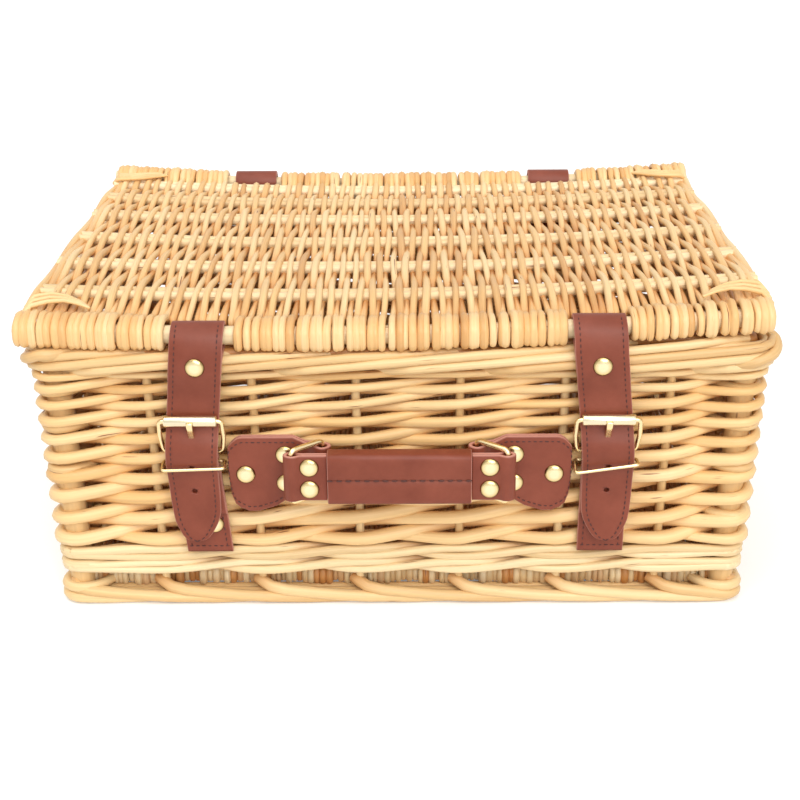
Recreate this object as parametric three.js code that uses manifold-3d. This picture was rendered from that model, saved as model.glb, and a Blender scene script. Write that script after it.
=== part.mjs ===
// A lidded willow hamper with leather straps, roller buckles and a front carrying handle.
// Units are millimetres, +Z is up, and the front with the handle faces -Y.
import * as THREE from "three";
import { mergeVertices } from "three/addons/utils/BufferGeometryUtils.js";
import Module from "manifold-3d";

const wasm = await Module();
wasm.setup();

// Driving sizes
const fit = 0.3; // gap between two pieces that touch
const bodyLength = 401;
const bodyDepth = 299;
const footHeight = 11;
const footWidth = 18;
const openRow = 9; // open row of bare stakes above the foot
const waleHeight = 18;
const rimBottom = 146;
const rimRods = 3;
const rimRodHeight = 6.9;
const rimRodPitch = 6.5;
const rimWidth = 16;
const rimOverhang = 2.5;
const wallThick = 20; // where the rods pass a stake
const wallThin = 8.5; // halfway between two stakes
const stakeRadius = 2.6;
const postRadius = 7;
const cornerRadius = 13.5;
const frontStakePitch = 57;
const frontStakeShift = 5; // the stakes of the long walls stand off centre by this much
const sideStakePitch = 54;
const baseThickness = 7.2;

const lidEndReach = 2.5; // how far the lid passes the body at each end
const lidSideReach = 3.5; // and at the front and the back
const lidRollRadius = 10;
const lidRodRadius = 6;
const lidValley = 2.4; // half thickness of the mat between two stick rows
const lidCrest = 6.6; // half thickness of the mat over a stick row
const stickRadius = 3;
const stickPlaces = [-0.776, -0.427, -0.07, 0.28, 0.573, 0.846]; // shares of the way to a frame rod
const windowGap = 1.2; // room round a leather loop in the lid's roll
const selvedgeRadius = 5;
const lashingLength = 45;

const leather = 2.4;
const strapGap = 19; // from the handle anchor's outer end to the middle of the strap
const strapWidth = 28.5;
const strapSplay = 0.06; // sideways drift of the lid strap per mm of drop
const strapPlumbZ = 108.7; // height at which the strap is level with its buckle's middle
const strapRivetRise = 8; // from the rim's underside up to the strap's rivet
const strapTailZ = 41.5;
const punchRadius = 2;
const punchRows = [93, 77];
const chapeWidth = 30;
const chapeBottom = 33;
const chapeSplay = 0.075;
const chapeRivetZ = 55.6;
const chapeRivetIn = 9;

const heelZ = 102.5;
const rollerZ = 122.5;
const frameWire = 1.25; // wire radius
const frameInside = 31;
const rollerRadius = 3.2;
const rollerLength = 29;
const prongWidth = 3.6;
const prongThick = 1.8;
const keeperWire = 0.9;
const keeperZ = 95.5;
const keeperDrop = 1.5;
const keeperHalf = 17.2;

const rivetHead = 4.9;
const rivetRise = 1.7;
const rivetShank = 1.8;
const rivetHold = 12; // shank length inside the wall

const handleZ = 93;
const handleTabHeight = 27;
const handleGripLength = 83.6;
const handleGripHeight = 30;
const handleGripThick = 12;
const handleRivetIn = 6; // from the handle's fold line to its rivets
const handleLoopIn = 14.7; // from the fold line to the ring bar in the end loop
const handleRivetSpread = 6.5;
const handleRingWire = 1.6;
const ringSpread = 16.2; // sideways distance between the ring's two bars
const ringReach = 13.5; // how far the ring stands the handle off its anchor
const ringSlack = 1.1; // play of the ring bar in the anchor tab's loop
const anchorLength = 52.5; // from the ring bar in the anchor tab's loop to the tab's outer end
const anchorNeck = 13; // half height at the loop
const anchorLeaf = 20.8; // half height at the widest place
const anchorSag = 4.5; // the anchor tab's outer end sits lower than its loop
const anchorRivetIn = 9.5; // from the outer end
const anchorPairOut = 20.7; // from the ring bar
const anchorPairSpread = 8.7;

const hingeX = 104;
const hingeWidth = 29;

// Sizes that follow from them
const halfX = bodyLength / 2;
const halfY = bodyDepth / 2;
const lidLength = bodyLength + 2 * lidEndReach;
const lidDepth = bodyDepth + 2 * lidSideReach;
const waleBottom = footHeight + openRow;
const waleTop = waleBottom + waleHeight;
const rimTop = rimBottom + rimRodPitch * (rimRods - 1) + rimRodHeight;
const strapRivetZ = rimBottom + strapRivetRise;
const rimX = halfX + rimOverhang;
const rimY = halfY + rimOverhang;
const postX = halfX - cornerRadius;
const postY = halfY - cornerRadius;
const planeX = halfX - wallThick / 2;
const planeY = halfY - wallThick / 2;
const frontStakes = [-2.5, -1.5, -0.5, 0.5, 1.5, 2.5].map((n) => n * frontStakePitch + frontStakeShift);
const sideStakes = [-1.5, -0.5, 0.5, 1.5].map((n) => n * sideStakePitch);
const lidAxisZ = rimTop + fit + lidRollRadius;
const lidRodY = lidDepth / 2 - lidRollRadius;
const stickRows = stickPlaces.map((share) => share * lidRodY);
const handleFoldX = handleGripLength / 2 + leather + fit;
const handleRivetX = handleFoldX + handleRivetIn;
const handleRingX = handleFoldX + handleLoopIn;
const anchorRingX = handleRingX - ringSpread;
const anchorEndX = anchorRingX + anchorLength;
const anchorRivetX = anchorEndX - anchorRivetIn;
const anchorPairX = anchorRingX + anchorPairOut;
const strapX = anchorEndX + strapGap;
const strapTopX = strapX + strapSplay * (strapPlumbZ - lidAxisZ);
const seat = halfY + fit; // leather lies on this plane in front of the wall
const foldRadius = frameWire + 0.35 + leather;
const heelY = seat + foldRadius;
const rollerY = seat + 2 * leather + 1.1 + fit + rollerRadius;
const anchorRadius = handleRingWire + ringSlack + leather;
const anchorY = seat + anchorRadius;
const handleY = anchorY + ringReach;
const ringHalf = handleTabHeight / 2 + 0.5 + handleRingWire;
const frontReach = handleY + handleGripThick / 2;
const backReach = rimY + fit + leather;
const shiftY = (frontReach - backReach) / 2;

// Materials
const finish = (color, roughness, metalness) => {
  return () => new THREE.MeshStandardMaterial({ color, roughness, metalness });
};
const willow = finish(0xb9814a, 0.6, 0);
const paleWillow = finish(0xdcc08a, 0.6, 0);
const hide = finish(0x935345, 0.65, 0);
const brass = finish(0xb08d4f, 0.3, 1);

// A closed three.js geometry as a solid for cutting and joining.
function solidOf(geometry) {
  const bare = new THREE.BufferGeometry();
  const flat = geometry.index ? geometry.toNonIndexed() : geometry;
  bare.setAttribute("position", flat.getAttribute("position"));
  const merged = mergeVertices(bare, 1e-4);
  const build = (triVerts) => {
    const vertProperties = new Float32Array(merged.attributes.position.array);
    return new wasm.Manifold(new wasm.Mesh({ numProp: 3, vertProperties, triVerts }));
  };
  const triVerts = new Uint32Array(merged.index.array);
  const made = build(triVerts);
  if (made.volume() > 0) return made;
  for (let i = 0; i < triVerts.length; i += 3) {
    [triVerts[i + 1], triVerts[i + 2]] = [triVerts[i + 2], triVerts[i + 1]];
  }
  return build(triVerts);
}

// The solid back as a three.js geometry.
function geometryOf(solid) {
  const mesh = solid.getMesh();
  const geometry = new THREE.BufferGeometry();
  geometry.setAttribute("position", new THREE.Float32BufferAttribute(mesh.vertProperties, 3));
  geometry.setIndex(new THREE.Uint32BufferAttribute(mesh.triVerts, 1));
  geometry.computeVertexNormals();
  return geometry;
}

const group = new THREE.Group();

function addPiece(name, solid, material) {
  const mesh = new THREE.Mesh(geometryOf(solid), material());
  mesh.name = name;
  mesh.position.y = shiftY;
  group.add(mesh);
}

const shapeOf = (points) => new THREE.Shape(points.map(([a, b]) => new THREE.Vector2(a, b)));

function flatExtrude(points, depth) {
  return new THREE.ExtrudeGeometry(shapeOf(points), { depth, bevelEnabled: false });
}

// An outline in X and Y, raised from z0 to z1.
function upright(points, z0, z1) {
  return solidOf(flatExtrude(points, z1 - z0).translate(0, 0, z0));
}

// An outline in Y and Z, drawn out along X from x0 to x1.
function across(points, x0, x1) {
  const turn = new THREE.Matrix4().set(0, 0, 1, x0, 1, 0, 0, 0, 0, 1, 0, 0, 0, 0, 0, 1);
  return solidOf(flatExtrude(points, x1 - x0).applyMatrix4(turn));
}

// An outline in X and Z, drawn out along Y from y0 to y1.
function through(points, y0, y1) {
  const turn = new THREE.Matrix4().set(1, 0, 0, 0, 0, 0, -1, y1, 0, 1, 0, 0, 0, 0, 0, 1);
  return solidOf(flatExtrude(points, y1 - y0).applyMatrix4(turn));
}

// Points on a circle between two angles in degrees, both ends included.
function arc(u, v, radius, from, to, steps) {
  const points = [];
  for (let i = 0; i <= steps; i += 1) {
    const angle = THREE.MathUtils.degToRad(from + ((to - from) * i) / steps);
    points.push([u + radius * Math.cos(angle), v + radius * Math.sin(angle)]);
  }
  return points;
}

const circle = (u, v, radius, sides) => arc(u, v, radius, 0, 360, sides).slice(1);

function roundedBox(a, b, radius, steps) {
  return [
    ...arc(a - radius, b - radius, radius, 0, 90, steps),
    ...arc(radius - a, b - radius, radius, 90, 180, steps),
    ...arc(radius - a, radius - b, radius, 180, 270, steps),
    ...arc(a - radius, radius - b, radius, 270, 360, steps),
  ];
}

const boxPoints = (u0, v0, u1, v1) => [[u0, v0], [u1, v0], [u1, v1], [u0, v1]];

// A flat outline that follows a line of points with an even thickness.
function ribbon(line, thickness) {
  const left = [];
  const right = [];
  line.forEach(([u, v], i) => {
    const before = line[Math.max(i - 1, 0)];
    const after = line[Math.min(i + 1, line.length - 1)];
    const du = after[0] - before[0];
    const dv = after[1] - before[1];
    const scale = thickness / 2 / Math.hypot(du, dv);
    left.push([u - dv * scale, v + du * scale]);
    right.unshift([u + dv * scale, v - du * scale]);
  });
  return [...left, ...right];
}

// A closed loop of points that a round wire follows corner by corner.
class WireLoop extends THREE.Curve {
  constructor(points) {
    super();
    this.points = points;
  }
  getPoint(t, target = new THREE.Vector3()) {
    const count = this.points.length;
    const at = (t % 1) * count;
    const from = Math.floor(at + 1e-9) % count;
    return target.lerpVectors(this.points[from], this.points[(from + 1) % count], at - Math.floor(at + 1e-9));
  }
  getPointAt(t, target) {
    return this.getPoint(t, target);
  }
  getTangentAt(t, target = new THREE.Vector3()) {
    const step = 0.5 / this.points.length;
    const ahead = this.getPoint((t + step) % 1);
    const behind = this.getPoint((t + 1 - step) % 1);
    return target.subVectors(ahead, behind).normalize();
  }
}

function wireRing(points, radius) {
  return solidOf(new THREE.TubeGeometry(new WireLoop(points), points.length, radius, 8, true));
}

// A rectangular wire ring given by two directions from its first corner's side.
function wireFrame(centre, along, up, halfAlong, halfUp, bend, radius) {
  const points = roundedBox(halfAlong, halfUp, bend, 2).map(([a, b]) => {
    return centre.clone().addScaledVector(along, a).addScaledVector(up, b);
  });
  return wireRing(points, radius);
}

// A domed rivet: its head faces the front, and its shank runs back from the leather's face.
function rivet(x, faceY, z, shankLength) {
  const profile = [
    [0, -shankLength],
    [rivetShank, -shankLength],
    [rivetShank, 0.1],
    [rivetHead, 0.1],
    [rivetHead * 0.93, 0.8],
    [rivetHead * 0.6, rivetRise - 0.3],
    [0, rivetRise],
  ].map(([r, h]) => new THREE.Vector2(r, h));
  const pin = new THREE.LatheGeometry(profile, 10).rotateX(Math.PI);
  return solidOf(pin.translate(x, -faceY, z));
}

const rivetBore = (x, z, y0, y1) => through(circle(x, z, rivetShank + 0.2, 10), y0, y1);

const rodAlongX = (y, z, radius, half, sides) => across(circle(y, z, radius, sides), -half, half);

const joinAll = (solids) => solids.reduce((whole, next) => whole.add(next));
const cutAll = (solid, cutters) => cutters.reduce((left, next) => left.subtract(next), solid);

// Willow base
const ringLayer = (a, b, width, radius, z0, height, bevel) => {
  const shape = shapeOf(roundedBox(a, b, radius, 4));
  shape.holes.push(new THREE.Path(shapeOf(roundedBox(a - width, b - width, radius - 9, 3)).getPoints()));
  const layer = new THREE.ExtrudeGeometry(shape, {
    depth: height - 2 * bevel,
    bevelEnabled: true,
    bevelSize: bevel,
    bevelThickness: bevel,
    bevelOffset: -bevel,
    bevelSegments: 2,
  });
  return solidOf(layer.translate(0, 0, z0 + bevel));
};

addPiece("foot_border", ringLayer(halfX, halfY, footWidth, cornerRadius, 0, footHeight, 3), willow);

const corners = [
  ["front_left", -1, -1],
  ["front_right", 1, -1],
  ["back_left", -1, 1],
  ["back_right", 1, 1],
];
const postDisc = (sx, sy, radius, z0, z1) => upright(circle(sx * postX, sy * postY, radius, 20), z0, z1);

const footTop = footHeight + fit;
const matCorners = corners.map(([, sx, sy]) => postDisc(sx, sy, postRadius + 0.4, 0, waleTop));
const baseOutline = roundedBox(halfX - footWidth + 4, halfY - footWidth + 4, 6, 2);
addPiece("base_mat", cutAll(upright(baseOutline, footTop, footTop + baseThickness), matCorners), paleWillow);

for (const [place, sx, sy] of corners) {
  addPiece(`corner_post_${place}`, postDisc(sx, sy, postRadius, footTop, rimBottom - fit), willow);
}

// Half thickness of the woven wall: full where the rods pass a stake, thin halfway between two.
function wallHalf(at, supports) {
  for (let i = 0; i + 1 < supports.length; i += 1) {
    const share = (at - supports[i]) / (supports[i + 1] - supports[i]);
    if (share >= 0 && share <= 1) {
      return (wallThin + (wallThick - wallThin) * Math.abs(Math.cos(Math.PI * share))) / 2;
    }
  }
  return wallThick / 2;
}

// The wall's plan outline between the two corner posts.
function wallOutline(plane, supports) {
  const steps = 6;
  const stations = [];
  for (let i = 0; i + 1 < supports.length; i += 1) {
    for (let k = 0; k < steps; k += 1) {
      stations.push(supports[i] + ((supports[i + 1] - supports[i]) * k) / steps);
    }
  }
  stations.push(supports.at(-1));
  const outer = stations.map((at) => [at, plane + wallHalf(at, supports)]);
  const inner = stations.map((at) => [at, plane - wallHalf(at, supports)]);
  return [...inner, ...outer.reverse()];
}

const turned = (points) => points.map(([a, b]) => [b, a]);
const flipped = (points, sx, sy) => points.map(([a, b]) => [a * sx, b * sy]);

// Rivet places on the front wall, each as x and z.
const anchorDrop = (x) => (anchorSag * (x - anchorRingX)) / (anchorEndX - anchorRingX);
const chapeX = (z) => strapX - chapeSplay * (heelZ - z);
const anchorRivets = [
  ["outer", anchorRivetX, handleZ - anchorDrop(anchorRivetX)],
  ["upper", anchorPairX, handleZ - anchorDrop(anchorPairX) + anchorPairSpread],
  ["lower", anchorPairX, handleZ - anchorDrop(anchorPairX) - anchorPairSpread],
];
const wallBores = [];
for (const side of [-1, 1]) {
  for (const [, x, z] of [...anchorRivets, ["chape", chapeX(chapeRivetZ) - chapeRivetIn, chapeRivetZ]]) {
    wallBores.push(rivetBore(side * x, z, -seat, rivetHold + 0.5 - seat));
  }
}

const wallFrom = waleTop + fit;
const wallTo = rimBottom - fit;
const sideCorners = (z0, z1) => corners.map(([, sx, sy]) => postDisc(sx, sy, cornerRadius + fit, z0, z1));
const posts = (z0, z1) => corners.map(([, sx, sy]) => postDisc(sx, sy, postRadius + fit, z0, z1));
const hingeSlots = [-1, 1].map((side) => {
  const reach = hingeWidth / 2 + fit;
  const low = rimBottom - fit - leather - fit;
  return across(boxPoints(postY - 20, low, halfY + 5, rimBottom), side * hingeX - reach, side * hingeX + reach);
});

const longWalls = [
  ["front", -1, wallBores],
  ["back", 1, hingeSlots],
];
for (const [place, sy, cutters] of longWalls) {
  const ends = (z0, z1) => [-1, 1].map((sx) => postDisc(sx, sy, cornerRadius, z0, z1));
  const panel = upright(flipped(wallOutline(planeY, [-postX, ...frontStakes, postX]), 1, sy), wallFrom, wallTo);
  const wall = joinAll([panel, ...ends(wallFrom, wallTo)]);
  addPiece(`wall_${place}`, cutAll(wall, [...posts(0, rimTop), ...cutters]), willow);
  const half = wallThick / 2 - 0.4;
  const band = upright(boxPoints(-postX, sy * planeY - half, postX, sy * planeY + half), waleBottom, waleTop);
  const stakes = frontStakes.map((x) => {
    return upright(circle(x, sy * planeY, stakeRadius, 10), footTop, waleBottom + 1);
  });
  const wale = joinAll([band, ...ends(waleBottom, waleTop), ...stakes]);
  addPiece(`wale_${place}`, cutAll(wale, posts(0, rimTop)), paleWillow);
}
for (const [place, sx] of [["left", -1], ["right", 1]]) {
  const outline = turned(wallOutline(planeX, [-postY, ...sideStakes, postY]));
  const panel = upright(flipped(outline, sx, 1), wallFrom, wallTo);
  addPiece(`wall_${place}`, cutAll(panel, sideCorners(0, rimTop)), willow);
  const half = wallThick / 2 - 0.4;
  const band = upright(boxPoints(sx * planeX - half, -postY, sx * planeX + half, postY), waleBottom, waleTop);
  const stakes = sideStakes.map((y) => {
    return upright(circle(sx * planeX, y, stakeRadius, 10), footTop, waleBottom + 1);
  });
  addPiece(`wale_${place}`, cutAll(joinAll([band, ...stakes]), sideCorners(0, rimTop)), paleWillow);
}

// Rolled rim of three stacked rods with a folded knuckle at each corner
const rimLayers = [];
for (let i = 0; i < rimRods; i += 1) {
  rimLayers.push(ringLayer(rimX, rimY, rimWidth, cornerRadius + 1.5, rimBottom + i * rimRodPitch, rimRodHeight, 1.6));
}
for (const [, sx, sy] of corners) {
  const knuckle = new THREE.SphereGeometry(10, 12, 8).scale(1, 1, 0.8);
  rimLayers.push(solidOf(knuckle.translate(sx * (rimX - 8), sy * (rimY - 8), rimBottom + 9)));
}
addPiece("rim_border", joinAll(rimLayers), willow);

// Lid: two frame rods, six stick pairs and the woven mat that wraps them
for (const [place, sy] of [["front", -1], ["back", 1]]) {
  addPiece(`lid_rod_${place}`, rodAlongX(sy * lidRodY, lidAxisZ, lidRodRadius, lidLength / 2, 16), paleWillow);
}

const stickPair = (y, radius, half) => {
  const apart = stickRadius - 0.1;
  return joinAll([-1, 1].map((s) => rodAlongX(y + s * apart, lidAxisZ, radius, half, 12)));
};
stickRows.forEach((y, i) => {
  addPiece(`lid_sticks_${i + 1}`, stickPair(y, stickRadius, lidLength / 2 - 0.5), paleWillow);
});

// The mat's upper outline from front to back, as y and height over the lid's middle plane.
function matCrest() {
  const points = arc(-lidRodY, 0, lidRollRadius, 180, 35, 8);
  let before = -lidRodY;
  for (const y of stickRows) {
    points.push([(before + y) / 2, lidValley]);
    points.push([y - 7, lidCrest - 1], [y - 3, lidCrest], [y + 3, lidCrest], [y + 7, lidCrest - 1]);
    before = y;
  }
  points.push([(before + lidRodY) / 2, lidValley]);
  return [...points, ...arc(lidRodY, 0, lidRollRadius, 145, 0, 8)];
}

const crest = matCrest();
const matOutline = [
  ...crest.map(([y, h]) => [y, lidAxisZ + h]),
  ...crest.slice(1, -1).reverse().map(([y, h]) => [y, lidAxisZ - h]),
];
const matHalf = lidLength / 2 - selvedgeRadius;
const matPieces = [across(matOutline, -matHalf, matHalf)];
const lashRows = [(stickRows[0] - lidRodY) / 2, (stickRows.at(-1) + lidRodY) / 2];
for (const sx of [-1, 1]) {
  const selvedge = circle(sx * matHalf, lidAxisZ, selvedgeRadius, 12);
  matPieces.push(through(selvedge, -lidRodY - lidRollRadius / 2, lidRodY + lidRollRadius / 2));
  for (const y of lashRows) {
    const cone = new THREE.CylinderGeometry(2.4, 6, lashingLength, 10).rotateZ((sx * Math.PI) / 2);
    matPieces.push(solidOf(cone.translate(sx * (matHalf - lashingLength / 2), y, lidAxisZ + 4)));
  }
}
const matBores = [-1, 1].map((sy) => {
  return rodAlongX(sy * lidRodY, lidAxisZ, lidRodRadius + fit, lidLength, 16);
});
stickRows.forEach((y) => matBores.push(stickPair(y, stickRadius + fit, lidLength)));
for (const sx of [-1, 1]) {
  for (const [x, y, width] of [[strapTopX, -lidRodY, strapWidth], [hingeX, lidRodY, hingeWidth]]) {
    const window = circle(y, lidAxisZ, lidRollRadius + windowGap, 24);
    matBores.push(across(window, sx * x - width / 2 - windowGap, sx * x + width / 2 + windowGap));
  }
}
addPiece("lid_mat", cutAll(joinAll(matPieces), matBores), willow);

// Leather hinge loops: each goes round the lid's back rod and under the rim
for (const [place, side] of [["left", -1], ["right", 1]]) {
  const band = (grow) => [
    ...arc(lidRodY, lidAxisZ, lidRodRadius + fit + grow, 0, 180, 10),
    [rimY - rimWidth - fit - grow, rimTop - 2],
    [rimY - rimWidth - fit - grow, rimBottom + 1],
    [rimY - rimWidth + 0.7 - grow, rimBottom - fit - grow],
    [rimY - 0.7 + grow, rimBottom - fit - grow],
    [rimY + fit + grow, rimBottom + 1],
    [rimY + fit + grow, rimTop - 1],
  ];
  const x0 = side * hingeX - hingeWidth / 2;
  const loop = across(band(leather), x0, x0 + hingeWidth).subtract(across(band(0), x0 - 1, x0 + hingeWidth + 1));
  addPiece(`hinge_loop_${place}`, loop, hide);
}

// The buckle's lean: its roller stands further off the wall than its heel bar.
const frameLength = Math.hypot(rollerY - heelY, rollerZ - heelZ);
const frameLean = Math.atan2(rollerY - heelY, rollerZ - heelZ);
const prongLean = frameLean + Math.asin((rollerRadius + fit + prongThick / 2) / frameLength);
const onProng = (along, off) => [
  -heelY - along * Math.sin(prongLean) - off * Math.cos(prongLean),
  heelZ + along * Math.cos(prongLean) - off * Math.sin(prongLean),
];
const prongBar = (from, to, half) => [onProng(from, -half), onProng(from, half), onProng(to, half), onProng(to, -half)];
const punch = (x, z, radius) => through(circle(x, z, radius, 10), -heelY - 40, 0);

// Slides a leather piece sideways as it drops, so that it hangs at its own slant.
const slant = (solid, side, x, perMm, fromZ) => {
  const matrix = new THREE.Matrix4().set(1, 0, -side * perMm, side * (x + perMm * fromZ), 0, 1, 0, 0, 0, 0, 1, 0, 0, 0, 0, 1);
  return solidOf(geometryOf(solid).applyMatrix4(matrix));
};

const strapInner = rimY + fit;
const tailInner = seat + 2 * leather + fit;
const heelInner = heelY + foldRadius + fit;
const rollInner = rollerY - rollerRadius - fit - leather;
const strapOutline = [
  [-lidRodY - 3, lidAxisZ + lidRodRadius + fit + leather - 0.7],
  [-strapInner + 0.8, lidAxisZ + 5],
  [-strapInner - 3.2, lidAxisZ - 2],
  [-strapInner - 2 * leather, lidAxisZ - 9],
  [-strapInner - 2 * leather, strapRivetZ - 7],
  [-strapInner - leather, strapRivetZ - 8.5],
  [-strapInner - leather - 0.4, rollerZ + 14],
  [-rollInner - leather, rollerZ + 4],
  [-rollInner - leather, rollerZ - 3],
  [-heelInner - leather, heelZ + 3],
  [-heelInner - leather, heelZ - 2],
  [-tailInner - leather - 0.6, heelZ - 14],
  [-tailInner - leather, heelZ - 20],
  [-tailInner - leather, strapTailZ - 1],
  [-tailInner, strapTailZ - 1],
  [-tailInner, heelZ - 20],
  [-tailInner - 0.6, heelZ - 14],
  [-heelInner, heelZ - 2],
  [-heelInner, heelZ + 3],
  [-rollInner, rollerZ - 3],
  [-rollInner, rollerZ + 4],
  [-strapInner - 0.4, rollerZ + 14],
  [-strapInner, strapRivetZ - 8.5],
  [-strapInner, rimTop - 2.1],
  [-strapInner + 1.3, rimTop + 0.7],
  [-lidRodY - 2, rimTop + 1.6],
];
const strapHalf = strapWidth / 2;
const tailEdge = [[1, 34.5], [0.88, 20.5], [0.66, 9.5], [0.35, 2], [0, 0]];
const strapFace = [
  [-strapHalf, lidAxisZ + 20],
  ...tailEdge.map(([share, rise]) => [-strapHalf * share, strapTailZ + rise]),
  ...tailEdge.slice(0, -1).reverse().map(([share, rise]) => [strapHalf * share, strapTailZ + rise]),
  [strapHalf, lidAxisZ + 20],
];
const chapeOutline = [
  ...arc(-heelY, heelZ, foldRadius, 0, 180, 10),
  [-heelY - foldRadius + 0.4, heelZ - 5],
  [-seat - 2 * leather, heelZ - 15],
  [-seat - 2 * leather, chapeRivetZ + 7],
  [-seat - leather, chapeRivetZ + 6],
  [-seat - leather, chapeBottom],
  [-seat, chapeBottom],
];

for (const [place, side] of [["left", -1], ["right", 1]]) {
  // Lid strap, looped round the lid's front rod
  const loop = across(circle(-lidRodY, lidAxisZ, lidRodRadius + fit + leather, 20), -strapHalf, strapHalf);
  const profile = across(strapOutline, -strapHalf, strapHalf).add(loop);
  const strap = cutAll(profile.intersect(through(strapFace, -heelY - 40, 0)), [
    across(circle(-lidRodY, lidAxisZ, lidRodRadius + fit, 20), -strapWidth, strapWidth),
    rivetBore(0, strapRivetZ, -strapInner - 20, 0),
    across(prongBar(2.5, 17, prongThick / 2 + 0.4), -prongWidth / 2 - 0.4, prongWidth / 2 + 0.4),
    ...punchRows.map((z) => punch(0, z, punchRadius)),
  ]);
  addPiece(`lid_strap_${place}`, slant(strap, side, strapX, strapSplay, strapPlumbZ), hide);
  const strapRivetX = strapX + strapSplay * (strapPlumbZ - strapRivetZ);
  const strapRivet = rivet(side * strapRivetX, strapInner + 2 * leather, strapRivetZ, 2 * leather);
  addPiece(`lid_strap_rivet_${place}`, strapRivet, brass);

  // Buckle strap, folded round the heel bar and slotted for the prong
  const half = chapeWidth / 2;
  const chape = cutAll(across(chapeOutline, -half, half), [
    across(circle(-heelY, heelZ, frameWire + 0.35, 12), -chapeWidth, chapeWidth),
    across(circle(-seat - leather, keeperZ, keeperWire + 0.35, 10), -chapeWidth, chapeWidth),
    across(boxPoints(-heelY - 9, heelZ - 4.6, -seat + 2, heelZ + 9), -prongWidth / 2 - 0.6, prongWidth / 2 + 0.6),
    rivetBore(-side * chapeRivetIn, chapeRivetZ, -seat - 20, 0),
  ]);
  addPiece(`buckle_strap_${place}`, slant(chape, side, strapX, -chapeSplay, heelZ), hide);
  const chapeRivetX = side * (chapeX(chapeRivetZ) - chapeRivetIn);
  addPiece(`buckle_strap_rivet_${place}`, rivet(chapeRivetX, seat + leather, chapeRivetZ, leather + rivetHold), brass);

  // Roller buckle and wire keeper
  const right = new THREE.Vector3(1, 0, 0);
  const lean = new THREE.Vector3(0, -Math.sin(frameLean), Math.cos(frameLean));
  const heel = new THREE.Vector3(side * strapX, -heelY, heelZ);
  const middle = heel.clone().addScaledVector(lean, frameLength / 2);
  const armX = frameInside / 2 + frameWire;
  addPiece(`buckle_frame_${place}`, wireFrame(middle, right, lean, armX, frameLength / 2, 1.7, frameWire), brass);
  const barrel = across(circle(-rollerY, rollerZ, rollerRadius, 16), -rollerLength / 2, rollerLength / 2);
  const hollow = across(circle(-rollerY, rollerZ, frameWire + 0.35, 12), -rollerLength, rollerLength);
  addPiece(`buckle_roller_${place}`, barrel.subtract(hollow).translate(side * strapX, 0, 0), brass);
  const eye = across(circle(-heelY, heelZ, 3.2, 14), -prongWidth / 2, prongWidth / 2);
  const tine = across(prongBar(1.8, frameLength + 3, prongThick / 2), -prongWidth / 2, prongWidth / 2);
  const pivot = across(circle(-heelY, heelZ, frameWire + 0.35, 12), -prongWidth, prongWidth);
  addPiece(`buckle_prong_${place}`, eye.add(tine).subtract(pivot).translate(side * strapX, 0, 0), brass);

  const back = new THREE.Vector3(side * strapX, -seat - leather, keeperZ);
  const front = new THREE.Vector3(0, -heelInner - leather, keeperZ - keeperDrop);
  const outward = new THREE.Vector3(0, front.y - back.y, front.z - back.z);
  const keeperReach = outward.length();
  const centre = back.clone().addScaledVector(outward, 0.5);
  const keeper = wireFrame(centre, right, outward.normalize(), keeperHalf, keeperReach / 2, 1.6, keeperWire);
  addPiece(`strap_keeper_${place}`, keeper, brass);

  // Handle anchor tab on the wall, folded round its ring
  const a = side * anchorRingX;
  const alongLeaf = (share) => anchorRingX + anchorLength * share;
  const leaf = [
    [anchorRingX - anchorRadius - 1, anchorNeck],
    [alongLeaf(0.171), anchorNeck],
    [alongLeaf(0.356), anchorLeaf * 0.84],
    [alongLeaf(0.505), anchorLeaf * 0.985],
    [alongLeaf(0.695), anchorLeaf],
    [alongLeaf(0.848), anchorLeaf * 0.82],
    [alongLeaf(0.962), anchorLeaf * 0.46],
    [anchorEndX, 0],
  ];
  const leafFace = [
    ...leaf.map(([x, h]) => [side * x, handleZ - anchorDrop(x) + h]),
    ...leaf.slice(0, -1).reverse().map(([x, h]) => [side * x, handleZ - anchorDrop(x) - h]),
  ];
  const low = handleZ - 2 * anchorLeaf;
  const high = handleZ + 2 * anchorLeaf;
  const tabFront = -seat - 2 * leather;
  const plan = joinAll([
    upright(boxPoints(a, tabFront, side * (anchorEndX + 2), -seat), low, high),
    upright(circle(a, -anchorY, anchorRadius, 18), low, high),
    upright([[a, -anchorY - anchorRadius + 0.1], [a + side * 12, tabFront], [a, tabFront]], low, high),
  ]);
  const anchor = cutAll(plan.intersect(through(leafFace, -anchorY - 20, 0)), [
    upright(circle(a, -anchorY, handleRingWire + ringSlack, 14), low, high),
    ...anchorRivets.map(([, x, z]) => rivetBore(side * x, z, -anchorY - 20, 0)),
  ]);
  addPiece(`handle_anchor_${place}`, anchor, hide);
  for (const [row, x, z] of anchorRivets) {
    const pin = rivet(side * x, seat + 2 * leather, z, 2 * leather + rivetHold);
    addPiece(`handle_anchor_rivet_${row}_${place}`, pin, brass);
  }

  // Wire ring from the anchor tab to the handle's end
  const ringFrom = new THREE.Vector3(a, -anchorY, handleZ);
  const ringTo = new THREE.Vector3(side * handleRingX, -handleY, handleZ);
  const ringSpan = ringTo.clone().sub(ringFrom);
  const ringMiddle = ringFrom.clone().addScaledVector(ringSpan, 0.5);
  const ringHalfSpan = ringSpan.length() / 2;
  const upward = new THREE.Vector3(0, 0, 1);
  const ring = wireFrame(ringMiddle, ringSpan.normalize(), upward, ringHalfSpan, ringHalf, 2, handleRingWire);
  addPiece(`handle_ring_${place}`, ring, brass);

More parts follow.
